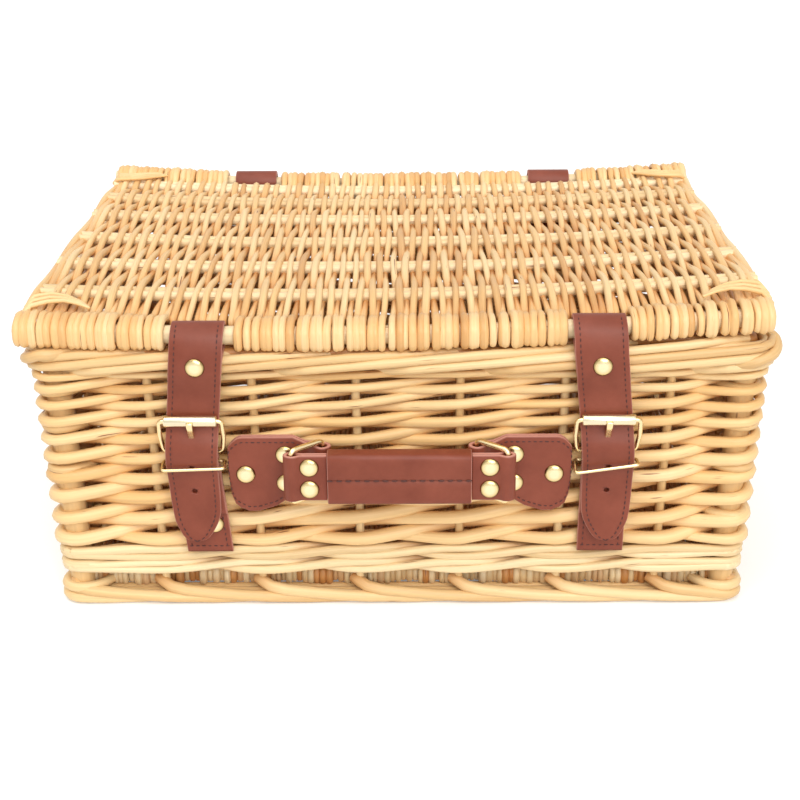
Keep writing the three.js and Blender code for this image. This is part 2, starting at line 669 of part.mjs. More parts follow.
  // Handle end: a folded tab with two rivets
  const z0 = handleZ - handleTabHeight / 2;
  const z1 = handleZ + handleTabHeight / 2;
  const b = side * handleRingX;
  const fold = side * handleFoldX;
  const tabPieces = joinAll([
    upright(circle(fold, -handleY, leather, 14), z0, z1),
    upright(boxPoints(fold, -handleY - leather, b, leather - handleY), z0, z1),
    upright(circle(b, -handleY, handleRingWire + 0.4 + leather, 18), z0, z1),
  ]);
  const pinRows = [["upper", handleZ + handleRivetSpread], ["lower", handleZ - handleRivetSpread]];
  const tab = cutAll(tabPieces, [
    upright(circle(b, -handleY, handleRingWire + 0.4, 14), z0 - 1, z1 + 1),
    ...pinRows.map(([, z]) => rivetBore(side * handleRivetX, z, -handleY - 20, 20 - handleY)),
  ]);
  addPiece(`handle_tab_${place}`, tab, hide);
  for (const [row, z] of pinRows) {
    const pin = rivet(side * handleRivetX, handleY + leather, z, 2 * leather);
    addPiece(`handle_rivet_${row}_${place}`, pin, brass);
  }
}

// Stitched grip between the two handle ends
const gripSection = roundedBox(handleGripThick / 2, handleGripHeight / 2, 5, 3).map(([y, z]) => [y - handleY, z + handleZ]);
addPiece("handle_grip", across(gripSection, -handleGripLength / 2, handleGripLength / 2), hide);

export default group;
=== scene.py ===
# %% [markdown]
# # A willow hamper with leather straps
# The solid part gives every size and every joint. This lesson dresses it: each willow rod,
# each leather strip and each brass fitting is made here as its own shape, in the same place.

import math
import random

import bmesh
import bpy
from mathutils import Matrix, Vector


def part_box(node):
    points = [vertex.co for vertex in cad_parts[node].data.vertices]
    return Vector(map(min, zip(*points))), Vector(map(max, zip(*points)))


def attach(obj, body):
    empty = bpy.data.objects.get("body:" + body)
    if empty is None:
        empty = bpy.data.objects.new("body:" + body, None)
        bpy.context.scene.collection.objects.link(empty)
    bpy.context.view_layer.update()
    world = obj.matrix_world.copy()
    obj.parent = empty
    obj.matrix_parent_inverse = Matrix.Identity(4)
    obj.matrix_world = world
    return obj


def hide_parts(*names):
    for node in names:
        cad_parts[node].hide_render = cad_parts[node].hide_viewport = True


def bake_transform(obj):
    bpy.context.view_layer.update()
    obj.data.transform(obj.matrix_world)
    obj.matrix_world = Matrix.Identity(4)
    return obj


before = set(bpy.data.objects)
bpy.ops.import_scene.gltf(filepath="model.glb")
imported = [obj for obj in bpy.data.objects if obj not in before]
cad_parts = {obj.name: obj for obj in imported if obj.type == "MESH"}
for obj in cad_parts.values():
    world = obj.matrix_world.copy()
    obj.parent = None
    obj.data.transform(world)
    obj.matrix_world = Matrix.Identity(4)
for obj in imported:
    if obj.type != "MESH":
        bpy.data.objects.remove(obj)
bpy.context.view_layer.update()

# %% [markdown]
# All sizes below are in millimetres, measured from the middle of the basket's foot, because that is
# how a basket maker would measure it. One function turns them into the metres of the shared frame.
# The handle makes the part longer at the front than at the back, so the basket's middle is not the
# frame's origin; the foot's own box says where it is.

# %% Units and the basket's middle
MM = 0.001
foot_low, foot_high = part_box("foot_border")
MIDDLE_Y = (foot_low.y + foot_high.y) / 2
HALF_X = (foot_high.x - foot_low.x) / 2 / MM
HALF_Y = (foot_high.y - foot_low.y) / 2 / MM
SIDES = (("left", -1), ("right", 1))
# waves along the rods start anywhere in a full turn
FULL_TURN = 6.3


def at(x, y, z):
    """A place in the basket's own millimetres, as a vector in the shared frame."""
    return Vector((x * MM, y * MM + MIDDLE_Y, z * MM))


def clamp(value, low=0.0, high=1.0):
    return min(max(value, low), high)


print("half length and depth of the foot:", round(HALF_X, 1), round(HALF_Y, 1))

# %% [markdown]
# Finishes and trees are both made of nodes. A few short functions keep the scripts for them
# readable: they make a node, feed its inputs with numbers or with other nodes' outputs, and give
# back the output that comes next.

# %% Helpers for nodes
def new_node(tree, kind, **settings):
    node = tree.nodes.new(kind)
    for key, value in settings.items():
        setattr(node, key, value)
    return node


def feed(socket, value):
    """Links an output into an input, or sets the input to a plain value; a colour gets its alpha."""
    if isinstance(value, bpy.types.NodeSocket):
        socket.id_data.links.new(value, socket)
    elif socket.type == "RGBA":
        socket.default_value = (*value, 1.0)
    else:
        socket.default_value = value


def set_inputs(node, **values):
    for key, value in values.items():
        feed(node.inputs[key.replace("_", " ")], value)
    return node


def calc(tree, operation, *values):
    """One step of arithmetic on numbers or sockets."""
    node = new_node(tree, "ShaderNodeMath", operation=operation)
    for socket, value in zip(node.inputs, values):
        feed(socket, value)
    return node.outputs[0]


def vector_calc(tree, operation, first, second):
    """One step of arithmetic on vectors; the second value of SCALE is a number."""
    node = new_node(tree, "ShaderNodeVectorMath", operation=operation)
    feed(node.inputs[0], first)
    feed(node.inputs["Scale" if operation == "SCALE" else 1], second)
    return node.outputs[0]


# %% Helpers for finishes
def start_material(name):
    material = bpy.data.materials.new(name)
    material.use_nodes = True
    tree = material.node_tree
    return material, tree, tree.nodes["Principled BSDF"]


def attribute(tree, name, output="Fac"):
    return new_node(tree, "ShaderNodeAttribute", attribute_name=name).outputs[output]


def noise(tree, where, **sizes):
    return set_inputs(new_node(tree, "ShaderNodeTexNoise"), Vector=where, **sizes).outputs["Fac"]


def ramp(tree, level, stops):
    """A colour for each level, blended between stops of (level, colour)."""
    node = set_inputs(new_node(tree, "ShaderNodeValToRGB"), Fac=level)
    band = node.color_ramp
    while len(band.elements) < len(stops):
        band.elements.new(0.5)
    for element, (place, colour) in zip(band.elements, stops):
        element.position = place
        element.color = (*colour, 1.0)
    return node.outputs["Color"]


def colour_mix(tree, blend, factor, first, second):
    node = new_node(tree, "ShaderNodeMix", data_type="RGBA", blend_type=blend)
    colours = [socket for socket in node.inputs if socket.type == "RGBA"]
    for socket, value in zip([node.inputs[0], *colours], (factor, first, second)):
        feed(socket, value)
    return [socket for socket in node.outputs if socket.type == "RGBA"][0]


def emboss(tree, shader, height, strength, distance):
    bump = new_node(tree, "ShaderNodeBump")
    set_inputs(bump, Height=height, Strength=strength, Distance=distance)
    set_inputs(shader, Normal=bump.outputs["Normal"])


# %% [markdown]
# Willow is a thin round wood with a silky skin. Its colour drifts from rod to rod and along each
# rod, with fine streaks that run lengthwise and a few dark leaf scars. A pattern fixed in space
# would cut across the rods where they bend. So every rod made below carries values on its points:
# `tone` (one per rod), `along` (how far along the rod), `around` (which way out from its middle)
# and an amount of painted shade (more where the rod runs inside the weave, where shade falls), and
# the finish follows the rod wherever it goes.

# %% Willow finish
WHITE = (1.0, 1.0, 1.0)
BLACK = (0.0, 0.0, 0.0)
STREAK = (0.80, 0.76, 0.72)
ROD_START = 37.0
GRAIN_ROUND = 0.045
GRAIN_STRETCH = (1.0, 1.0, 0.12)


# `inner` is the colour of the painted shade inside the weave
def willow(name, dark, middle, light, scar, inner=(0.70, 0.42, 0.23)):
    material, tree, shader = start_material(name)
    tone = attribute(tree, "tone")
    # a coordinate that runs along the rod, with its own start on every rod
    along = calc(tree, "MULTIPLY_ADD", tone, ROD_START, attribute(tree, "along"))
    lengthwise = set_inputs(new_node(tree, "ShaderNodeCombineXYZ"), Z=along).outputs[0]
    outward = vector_calc(tree, "SCALE", attribute(tree, "around", "Vector"), GRAIN_ROUND)
    where = vector_calc(tree, "ADD", outward, lengthwise)
    # slow drift of colour along the rod
    drift = noise(tree, where, Scale=9.0, Detail=3.0, Roughness=0.55)
    level = calc(tree, "MULTIPLY_ADD", tone, 0.8, -0.27)
    drifted = calc(tree, "MULTIPLY_ADD", drift, 0.75, level)
    base = ramp(tree, drifted, [(0.0, dark), (0.45, middle), (1.0, light)])
    # fine streaks lengthwise
    fine = noise(tree, vector_calc(tree, "MULTIPLY", where, GRAIN_STRETCH), Scale=60.0, Detail=2.0)
    streaks = ramp(tree, fine, [(0.3, STREAK), (0.62, WHITE)])
    streaked = colour_mix(tree, "MULTIPLY", 0.55, base, streaks)
    # a few leaf scars
    spots = noise(tree, where, Scale=42.0, Detail=1.0)
    marks = ramp(tree, spots, [(0.74, BLACK), (0.79, WHITE)])
    scarred = colour_mix(tree, "MIX", marks, streaked, scar)
    # painted shade: darker and redder where the rod runs inside the weave, where shade falls
    shaded = colour_mix(tree, "MULTIPLY", attribute(tree, "painted_shade"), scarred, inner)
    set_inputs(shader, Base_Color=shaded, Roughness=0.42, IOR=1.45)
    emboss(tree, shader, fine, 0.12, 0.0006)
    return material


BROWN = willow(
    "willow_brown",
    dark=(0.60, 0.31, 0.105),
    middle=(0.82, 0.515, 0.21),
    light=(0.92, 0.67, 0.35),
    scar=(0.26, 0.09, 0.035),
)
GOLD = willow(
    "willow_golden",
    dark=(0.62, 0.36, 0.14),
    middle=(0.81, 0.55, 0.255),
    light=(0.90, 0.69, 0.385),
    scar=(0.28, 0.11, 0.045),
)
TAN = willow(
    "willow_tan",
    dark=(0.67, 0.355, 0.125),
    middle=(0.87, 0.56, 0.24),
    light=(0.94, 0.70, 0.375),
    scar=(0.28, 0.10, 0.04),
    # a lighter painted shade for the lid's weavers
    inner=(0.82, 0.52, 0.28),
)
PALE = willow(
    "willow_pale",
    dark=(0.66, 0.45, 0.21),
    middle=(0.84, 0.635, 0.35),
    light=(0.92, 0.76, 0.49),
    scar=(0.36, 0.18, 0.08),
)
print("willow finishes:", BROWN.name, GOLD.name, TAN.name, PALE.name)

# %% [markdown]
# Three trees of Geometry Nodes do the repeating work of this hamper: rods along lines, stitches
# along lines and rivets on points. They begin and end alike, so the shared steps come first. At the
# end instances become real and the faces take their finish, because the export keeps plain meshes.

# %% Helpers for trees
def new_tree(name, **inputs):
    """A tree with a geometry coming in, named inputs of the given kinds, and a geometry going out."""
    tree = bpy.data.node_groups.new(name, "GeometryNodeTree")
    for label, kind in {"Geometry": "Geometry", **inputs}.items():
        tree.interface.new_socket(label, in_out="INPUT", socket_type="NodeSocket" + kind)
    tree.interface.new_socket("Geometry", in_out="OUTPUT", socket_type="NodeSocketGeometry")
    return tree, new_node(tree, "NodeGroupInput").outputs


def geometry_step(tree, kind, geometry, settings=None, **inputs):
    """One node on the geometry's way: it comes in at the first input and leaves at the first output."""
    node = new_node(tree, "GeometryNode" + kind, **(settings or {}))
    feed(node.inputs[0], geometry)
    return set_inputs(node, **inputs).outputs[0]


def end_tree(tree, geometry, finish):
    real = geometry_step(tree, "RealizeInstances", geometry)
    smooth = geometry_step(tree, "SetShadeSmooth", real)
    dressed = geometry_step(tree, "SetMaterial", smooth, Material=finish)
    feed(new_node(tree, "NodeGroupOutput").inputs[0], dressed)
    print("tree:", tree.name, "nodes:", len(tree.nodes))
    return tree


def new_object(name, data):
    obj = bpy.data.objects.new(name, data)
    bpy.context.scene.collection.objects.link(obj)
    return obj


def face_outward(mesh):
    work = bmesh.new()
    work.from_mesh(mesh)
    bmesh.ops.recalc_face_normals(work, faces=work.faces)
    work.to_mesh(mesh)
    work.free()


def settle(obj):
    """Turns what the modifiers make into the object's own plain mesh, with its faces outward."""
    graph = bpy.context.evaluated_depsgraph_get()
    evaluated = obj.evaluated_get(graph)
    made = bpy.data.meshes.new_from_object(evaluated, preserve_all_data_layers=True, depsgraph=graph)
    obj.modifiers.clear()
    old = obj.data
    obj.data = made
    bpy.data.meshes.remove(old)
    made.name = obj.name
    face_outward(made)
    return obj


def grow(obj, tree, **values):
    """Runs a tree on an object, with its inputs set by the sockets' identifiers."""
    modifier = obj.modifiers.new(tree.name, "NODES")
    modifier.node_group = tree
    for item in tree.interface.items_tree:
        if item.in_out == "INPUT" and item.name in values:
            modifier[item.identifier] = values[item.name]
    return settle(obj)


# %% [markdown]
# Every rod, wire and weaver follows a line. Python lays out the lines, as a basket maker lays out
# the stakes, and one tree turns any set of lines into round rods: it makes curves of the lines, sets
# each point's radius from its `thick` value with a little unevenness, and sweeps a circle along
# them. Bevelled curve objects would do too, but could not carry the rods' own values.

# %% A tree that makes rods of lines
def rod_tree():
    sizes = {"Sides": "Int", "Thickness": "Float", "Unevenness": "Float", "Seed": "Int"}
    tree, given = new_tree("rods_from_lines", **sizes, Finish="Material")
    curves = geometry_step(tree, "MeshToCurve", given["Geometry"])
    thick = new_node(tree, "GeometryNodeInputNamedAttribute", data_type="FLOAT")
    set_inputs(thick, Name="thick")
    cloud = new_node(tree, "ShaderNodeTexNoise", noise_dimensions="4D")
    set_inputs(cloud, W=given["Seed"], Scale=55.0, Detail=1.0)
    uneven = set_inputs(
        new_node(tree, "ShaderNodeMapRange"),
        Value=cloud.outputs["Fac"],
        From_Min=0.25,
        From_Max=0.75,
        To_Min=calc(tree, "SUBTRACT", 1.0, given["Unevenness"]),
        To_Max=calc(tree, "ADD", 1.0, given["Unevenness"]),
    )
    scaled = calc(tree, "MULTIPLY", thick.outputs["Attribute"], given["Thickness"])
    radius = calc(tree, "MULTIPLY", scaled, uneven.outputs["Result"])
    sized = geometry_step(tree, "SetCurveRadius", curves, Radius=radius)
    circle = new_node(tree, "GeometryNodeCurvePrimitiveCircle", mode="RADIUS")
    set_inputs(circle, Radius=1.0, Resolution=given["Sides"])
    position = new_node(tree, "GeometryNodeInputPosition").outputs["Position"]
    vector_on_points = {"data_type": "FLOAT_VECTOR", "domain": "POINT"}
    ring = circle.outputs["Curve"]
    around = {"Name": "around", "Value": position}
    ring = geometry_step(tree, "StoreNamedAttribute", ring, vector_on_points, **around)
    own_radius = new_node(tree, "GeometryNodeInputRadius").outputs["Radius"]
    profile = {"Profile_Curve": ring, "Scale": own_radius, "Fill_Caps": True}
    swept = geometry_step(tree, "CurveToMesh", sized, **profile)
    return end_tree(tree, swept, given["Finish"])


ROD_TREE = rod_tree()


# %% Lines and rods
def line_of(points, radius, tone, painted_shade=0.0, closed=False):
    """A rod's line. Radius and painted shade are one value for all of it, or a list with one per point."""
    count = len(points)
    radii = radius if isinstance(radius, list) else [radius] * count
    painted_shades = painted_shade if isinstance(painted_shade, list) else [painted_shade] * count
    return points, radii, tone, painted_shades, closed


def lines_object(name, lines):
    """Lines as one mesh of edges, whose points carry the rods' values."""
    places, edges = [], []
    values = {"thick": [], "tone": [], "along": [], "painted_shade": []}
    for points, radii, tone, painted_shades, closed in lines:
        first = len(places)
        run = 0.0
        for i, point in enumerate(points):
            run += (point - points[i - 1]).length if i else 0.0
            values["along"].append(run)
        places += points
        values["thick"] += [radius * MM for radius in radii]
        values["tone"] += [tone] * len(points)
        values["painted_shade"] += painted_shades
        edges += [(first + i, first + i + 1) for i in range(len(points) - 1)]
        if closed:
            edges.append((len(places) - 1, first))
    mesh = bpy.data.meshes.new(name)
    mesh.from_pydata(places, edges, [])
    for label, numbers in values.items():
        mesh.attributes.new(label, "FLOAT", "POINT").data.foreach_set("value", numbers)
    return new_object(name, mesh)


def rods(name, lines, finish, sides=8, uneven=0.0, seed=1):
    obj = lines_object(name, lines)
    grow(obj, ROD_TREE, Sides=sides, Thickness=1.0, Unevenness=uneven, Seed=seed, Finish=finish)
    print(name, "lines:", len(lines), "faces:", len(obj.data.polygons))
    return obj


def dress(obj, body, slot, *nodes):
    """The piece moves with its body and stands for its solids; the slot is not used."""
    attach(obj, body)
    if nodes:
        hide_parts(*nodes)
    return obj


# %% [markdown]
# The basket is laid out round its stakes. Going round means: along the front to the right, round
# the corner post, along the right side, and so on. A distance round the basket and an offset from
# the line of stakes, outward or inward, give any place in a wall, so that a rod that goes round
# several corners needs no thought about which wall it is in.

# %% The way round the basket
POST_IN = 13.5
CORNER_RADIUS = 10.0
STAKE_LINE = 3.5
POST_X = HALF_X - POST_IN
POST_Y = HALF_Y - POST_IN
CORNER_RUN = CORNER_RADIUS * math.pi / 2
LONG = 2 * POST_X
SHORT = 2 * POST_Y
AROUND = 2 * LONG + 2 * SHORT + 4 * CORNER_RUN
WALLS = (
    ((-POST_X, -POST_Y), (1, 0), (0, -1), LONG),
    ((POST_X, -POST_Y), (0, 1), (1, 0), SHORT),
    ((POST_X, POST_Y), (-1, 0), (0, 1), LONG),
    ((-POST_X, POST_Y), (0, -1), (-1, 0), SHORT),
)


def round_place(run, out):
    """X and Y at a distance round the basket, `out` mm outside the line of stakes."""
    run = run % AROUND
    reach = STAKE_LINE + out
    for (x, y), (dx, dy), (nx, ny), length in WALLS:
        if run <= length:
            return x + dx * run + nx * reach, y + dy * run + ny * reach
        run -= length
        if run <= CORNER_RUN:
            turn = run / CORNER_RUN * math.pi / 2
            c, s = math.cos(turn), math.sin(turn)
            ax, ay = nx * c + dx * s, ny * c + dy * s
            return x + dx * length + ax * reach, y + dy * length + ay * reach
        run -= CORNER_RUN
    return x, y


FLARE = 4.2
FOOT_TOP = 11.3
RIM_LOW = 146.0


def wall_place(run, out, z):
    """A place in the wall; the end walls lean outward with height, as the stakes fan out."""
    x, y = round_place(run, out)
    return at(x * (1 + FLARE / HALF_X * (z - FOOT_TOP) / (RIM_LOW - FOOT_TOP)), y, z)


# %% Where the stakes and posts stand
FRONT_STAKES = [-137.5, -80.5, -23.5, 33.5, 90.5, 147.5]
SIDE_STAKES = [-81.0, -27.0, 27.0, 81.0]


def stake_runs():
    """Distances round the basket, each as (distance, kind). A post stands at both ends of a wall."""
    found = []
    start = 0.0
    for side, length in enumerate((LONG, SHORT, LONG, SHORT)):
        stakes = FRONT_STAKES if side % 2 == 0 else SIDE_STAKES
        if side >= 2:
            stakes = [-s for s in reversed(stakes)]
        found.append((start, "post"))
        found += [(start + length / 2 + s, "stake") for s in stakes]
        found.append((start + length, "post"))
        start += length + CORNER_RUN
    return found


STAKES = stake_runs()
PLAIN_STAKES = [run for run, kind in STAKES if kind == "stake"]
# each corner's bend starts at the post that ends a wall
CORNERS = [run for run, kind in STAKES if kind == "post"][1::2]
print("way round:", round(AROUND), "mm, supports:", len(STAKES))

# %% [markdown]
# The stakes are thin upright willow rods that stand in the base and carry the weave, with a thick
# post in each corner. They show between the rods of the wall, so each is a rod of its own. Short
# rods are bent round each post to fill it out where the wall's rods pass behind it.

# %% Stakes and posts
STAKE_RADIUS = 2.55
STAKE_HEIGHTS = (11.6, 50, 90, 130, 150)
POST_RADIUS = 7.3
POST_HEIGHTS = (11.4, 60, 110, 148)
WRAP_LEVELS = (56.0, 86.0, 112.0, 134.0)
WRAP_RADIUS = 3.1
WRAP_REACH = 22.0
WRAP_OUT = 5.4
WRAP_TUCK = 12.0


def stake_lines():
    chance = random.Random(11)
    lines = []
    for run in PLAIN_STAKES:
        points = [wall_place(run + chance.uniform(-0.5, 0.5), 0.0, z) for z in STAKE_HEIGHTS]
        lines.append(line_of(points, STAKE_RADIUS, chance.uniform(0.3, 0.9)))
    for corner in CORNERS:
        middle = corner + CORNER_RUN / 2
        points = [wall_place(middle, -STAKE_LINE, z) for z in POST_HEIGHTS]
        lines.append(line_of(points, POST_RADIUS, chance.uniform(0.3, 0.7)))
        steps = [WRAP_REACH * n / 11 for n in range(-11, 12)]
        for z in WRAP_LEVELS:
            outs = [WRAP_OUT - WRAP_TUCK * abs(s / WRAP_REACH) ** 3 for s in steps]
            points = [wall_place(middle + s, out, z) for s, out in zip(steps, outs)]
            lines.append(line_of(points, WRAP_RADIUS, chance.uniform(0.1, 0.5)))
    return lines


POST_NODES = ["corner_post_" + p for p in ("front_left", "front_right", "back_left", "back_right")]
stakes = rods("stakes", stake_lines(), GOLD, sides=10)
dress(stakes, "basket", "willow_brown", *POST_NODES)

# %% [markdown]
# The walls are woven in the French way: as many rods as there are supports start side by side, each
# goes in front of one stake and behind the next, and all climb together to the right. A wall could
# be a textured sheet, but light has to fall between the rods. So each rod here is one long line that
# climbs one row per stake, in front and behind by turns, with a corner post counted as a stake. Rods
# are thick at their butts, low in the wall, and thin at their tips.

# %% How one rod of the wall goes
ROD_COUNT = 24
ROWS = 18.0
LOW_ROW = 42.6
ROW_RISE = 7.15
ROW_CLOSING = 0.083
BUTT_RADIUS = 4.1
ROW_THINNING = 0.095
WALL_HALF = 10.0
STAKE_CLEAR = 2.5
POST_BEHIND = -7.5
INNER_SHARE = 0.68
CORNER_MARGIN = 5.0


def ease(a, b, share):
    """From a to b, slow at both ends."""
    return a + (b - a) * (1 - math.cos(math.pi * share)) / 2


def row_height(row):
    return LOW_ROW + ROW_RISE * row - ROW_CLOSING * row * row


def support_sides(rod):
    """(distance, side) over three turns: 1 outside a stake, -1 inside it, 2 and -2 at a post."""
    found = []
    count = 0
    last = ""
    for turn in (-1, 0, 1):
        for run, kind in STAKES:
            if kind == "stake" or last == "stake":
                count += 1
            side = 1 if (rod + count) % 2 == 0 else -1
            found.append((run + turn * AROUND, side if kind == "stake" else 2 * side))
            last = kind
    return found


def behind_post(run, offset):
    """True where a rod passes behind a corner post, where its line cuts the corner short."""
    place = run % AROUND
    near = any(c - CORNER_MARGIN < place < c + CORNER_RUN + CORNER_MARGIN for c in CORNERS)
    return near and offset < -STAKE_LINE


def rod_offset(controls, run, radius):
    """How far out the rod lies, half in a straight line from support to support and half eased."""
    outside = min(WALL_HALF - radius, STAKE_CLEAR + radius)
    reach = {1: outside, -1: -INNER_SHARE * outside, 2: WALL_HALF - radius, -2: POST_BEHIND}
    for (a, first), (b, second) in zip(controls, controls[1:]):
        if a <= run <= b:
            share = (run - a) / (b - a)
            straight = reach[first] + (reach[second] - reach[first]) * share
            return 0.5 * straight + 0.5 * ease(reach[first], reach[second], share)
    return 0.0


# %% Wall weave
WALL_LOW = 38.3
WALL_TOP = 145.6
WALL_STEP = 4.6
BUTT_TAPER = 70.0
TIP_TAPER = 90.0
# rods with lighter tones: painted light on the middle and right of the front wall
PAINTED_LIGHT_RODS = 9


def wall_lines():
    chance = random.Random(5)
    lines = []
    pitch = AROUND / ROD_COUNT
    for rod in range(ROD_COUNT):
        controls = support_sides(rod)
        inside = [run for run, side in controls if side < 0]
        start = min(inside, key=lambda run: abs(run - (rod - 0.8) * pitch))
        stop = min(run for run in inside if run > (rod + ROWS) * pitch)
        steps = int((stop - start) / WALL_STEP)
        waves = [chance.uniform(0, FULL_TURN) for _ in range(4)]
        size = chance.uniform(0.95, 1.06)
        points, radii, painted_shades = [], [], []
        for i in range(steps + 1):
            run = start + (stop - start) * i / steps
            row = run / pitch - rod
            # slow waves in thickness and height, because no rod is quite even
            radius = (BUTT_RADIUS - ROW_THINNING * row) * size * (1 + 0.04 * math.sin(run / 41 + waves[0]))
            butt = 0.6 + 0.4 * (run - start) / BUTT_TAPER
            tip = 0.7 + 0.3 * (stop - run) / TIP_TAPER
            radius *= min(1.0, butt, tip)
            sway = 0.5 * math.sin(run / 33 + waves[1]) + 0.3 * math.sin(run / 17 + waves[2])
            offset = rod_offset(controls, run, radius)
            if behind_post(run, offset):
                continue
            z = clamp(row_height(row) + sway, WALL_LOW + radius, WALL_TOP - radius)
            points.append(wall_place(run, offset, z))
            radii.append(radius)
            # painted shade where the rod runs inside the wall, behind a stake or post
            painted_shades.append(clamp((0.5 - offset) / 7.5, 0.0, 0.7))
        # painted light: the first rods, which show in the middle and right of the front wall, get lighter
        # tones for the brighter light there
        tone = chance.uniform(0.6, 1.0) if rod < PAINTED_LIGHT_RODS else chance.uniform(0.3, 0.95)
        lines.append(line_of(points, radii, tone, painted_shades))
    return lines


WALL_NODES = ["wall_" + p for p in ("front", "back", "left", "right")]
walls = rods("wall_weave", wall_lines(), BROWN, sides=9, uneven=0.04, seed=3)
dress(walls, "basket", "willow_brown", *WALL_NODES)

# %% [markdown]
# A waling band locks the stakes above the open row: three rods at a time, each in front of two
# stakes and behind one, so that the strokes lie slanting over one another. Two such rounds are
# stacked here, in paler rods than the wall's. The order of three is worked out stake by stake, as
# a weaver counts it.

# %% Waling
WALE_RADIUS = 2.65
WALE_LIFT = 2.5
WALE_ROUNDS = (24.7, 33.2)
WALE_STEP = 5.2
WALE_OVERLAP = 30
WALE_START_GAP = 19.0


def wale_controls(weaver):
    """(distance, offset, lift) for one rod of the wale at each support, over two turns."""
    found, controls = [], []
    count = 0
    reach = min(WALL_HALF - WALE_RADIUS, STAKE_CLEAR + WALE_RADIUS)
    lifts = (0.0, -WALE_LIFT, WALE_LIFT)
    for turn in (0, 1):
        for run, kind in STAKES:
            place = run + turn * AROUND
            if kind == "post":
                found.append((place, reach, None))
            else:
                state = (count + weaver) % 3
                found.append((place, reach if state else -reach, lifts[state]))
                count += 1
    for i, (place, out, lift) in enumerate(found):
        controls.append((place, out, post_lift(found, i) if lift is None else lift))
    return controls


def post_lift(found, index):
    """At a post the rod is on its way from the stake before to the stake after."""
    place = found[index][0]
    before = [f for f in found[:index] if f[2] is not None]
    after = [f for f in found[index:] if f[2] is not None]
    a = before[-1] if before else after[0]
    b = after[0] if after else before[-1]
    share = (place - a[0]) / (b[0] - a[0]) if b[0] > a[0] else 0.0
    return a[2] + (b[2] - a[2]) * share


def between(controls, run, index):
    for first, second in zip(controls, controls[1:]):
        if first[0] <= run <= second[0]:
            share = (run - first[0]) / (second[0] - first[0]) if second[0] > first[0] else 0.0
            return ease(first[index], second[index], share)
    return controls[-1][index]


def wale_lines():
    chance = random.Random(21)
    lines = []
    back_middle = LONG + SHORT + 2 * CORNER_RUN + LONG / 2
    steps = int((AROUND + WALE_OVERLAP) / WALE_STEP)
    for level in WALE_ROUNDS:
        for weaver in range(3):
            controls = wale_controls(weaver)
            begin = back_middle + weaver * WALE_START_GAP
            wave = chance.uniform(0, FULL_TURN)
            points, radii, painted_shades = [], [], []
            for i in range(steps + 1):
                run = begin + (AROUND + WALE_OVERLAP) * i / steps
                place = run if run < 2 * AROUND else run - AROUND
                z = level + between(controls, place, 2) + 0.35 * math.sin(run / 29 + wave)
                offset = between(controls, place, 1)
                points.append(wall_place(run, offset, z))
                radii.append(WALE_RADIUS * (1 + 0.07 * math.sin(run / 90 + wave)))
                # painted shade where the rod runs behind a stake
                painted_shades.append(clamp((3.5 - offset) / 8.0, 0.0, 0.8))
            lines.append(line_of(points, radii, chance.uniform(0.0, 0.85), painted_shades))
    return lines


WALE_NODES = ["wale_" + p for p in ("front", "back", "left", "right")]
wale = rods("waling", wale_lines(), PALE, sides=9, uneven=0.03, seed=4)
dress(wale, "basket", "willow_pale", *WALE_NODES)

# %% [markdown]
# The foot is a border: under the base each stake's butt is bent over to the right, lies on top of
# the one before it, and sweeps down until it runs out under the next. One path, given as a few
# points of (distance, offset, height), serves every butt. Plain rings of rod lie behind them and
# carry the basket's weight, and one short rod is bent round each corner.

# %% Foot border
FOOT_PATH = (
    (-3.0, -1.5, 13.5),
    (0.0, 1.5, 12.4),
    (5.0, 4.6, 10.4),
    (14.0, 6.2, 8.8),
    (30.0, 6.3, 7.0),
    (46.0, 6.2, 5.4),
    (62.0, 6.0, 4.3),
    (86.0, 5.4, 3.7),
    (108.0, 4.0, 3.5),
    (124.0, 1.0, 3.5),
)
FOOT_STEPS = 40
FOOT_RADIUS = 3.55
FOOT_RINGS = (-1.0, -6.2)
FOOT_RING_Z = 3.4
FOOT_RING_RADIUS = 3.3
RING_POINTS = 260
FOOT_WRAP_REACH = 24
FOOT_WRAP_OUT = 6.2
FOOT_WRAP_TUCK = 11.0
FOOT_WRAP_Z = 10.8
FOOT_WRAP_RADIUS = 3.0


def walk(path, steps):
    """Places in even steps along a path of points, straight between two points."""
    found = []
    for n in range(steps + 1):
        spot = n / steps * (len(path) - 1)
        k = min(int(spot), len(path) - 2)
        found.append([a + (b - a) * (spot - k) for a, b in zip(path[k], path[k + 1])])
    return found


def foot_lines():
    chance = random.Random(31)
    middles = [corner + CORNER_RUN / 2 for corner in CORNERS]
    lines = []
    for start in PLAIN_STAKES + middles:
        push = chance.uniform(-1.5, 1.5)
        path = walk(FOOT_PATH, FOOT_STEPS)
        points = [wall_place(start + push + run, out, z) for run, out, z in path]
        radii = [FOOT_RADIUS - 0.3 * i / FOOT_STEPS for i in range(len(path))]
        # painted shade at each butt's start, where it comes out from under the wall
        painted_shades = [max(0.0, 0.75 - i / 16) for i in range(len(path))]
        lines.append(line_of(points, radii, chance.uniform(0.25, 0.8), painted_shades))
    for out in FOOT_RINGS:
        points = [wall_place(AROUND * i / RING_POINTS, out, FOOT_RING_Z) for i in range(RING_POINTS)]
        lines.append(line_of(points, FOOT_RING_RADIUS, chance.uniform(0.2, 0.5), closed=True))
    for middle in middles:
        points = []
        for run in range(-FOOT_WRAP_REACH, FOOT_WRAP_REACH + 1, 3):
            out = FOOT_WRAP_OUT - FOOT_WRAP_TUCK * (run / FOOT_WRAP_REACH) ** 4
            points.append(wall_place(middle + run, out, FOOT_WRAP_Z))
        lines.append(line_of(points, FOOT_WRAP_RADIUS, chance.uniform(0.3, 0.6)))
    return lines


foot = rods("foot_weave", foot_lines(), GOLD, sides=10, uneven=0.03, seed=5)
dress(foot, "basket", "willow_brown", "foot_border")

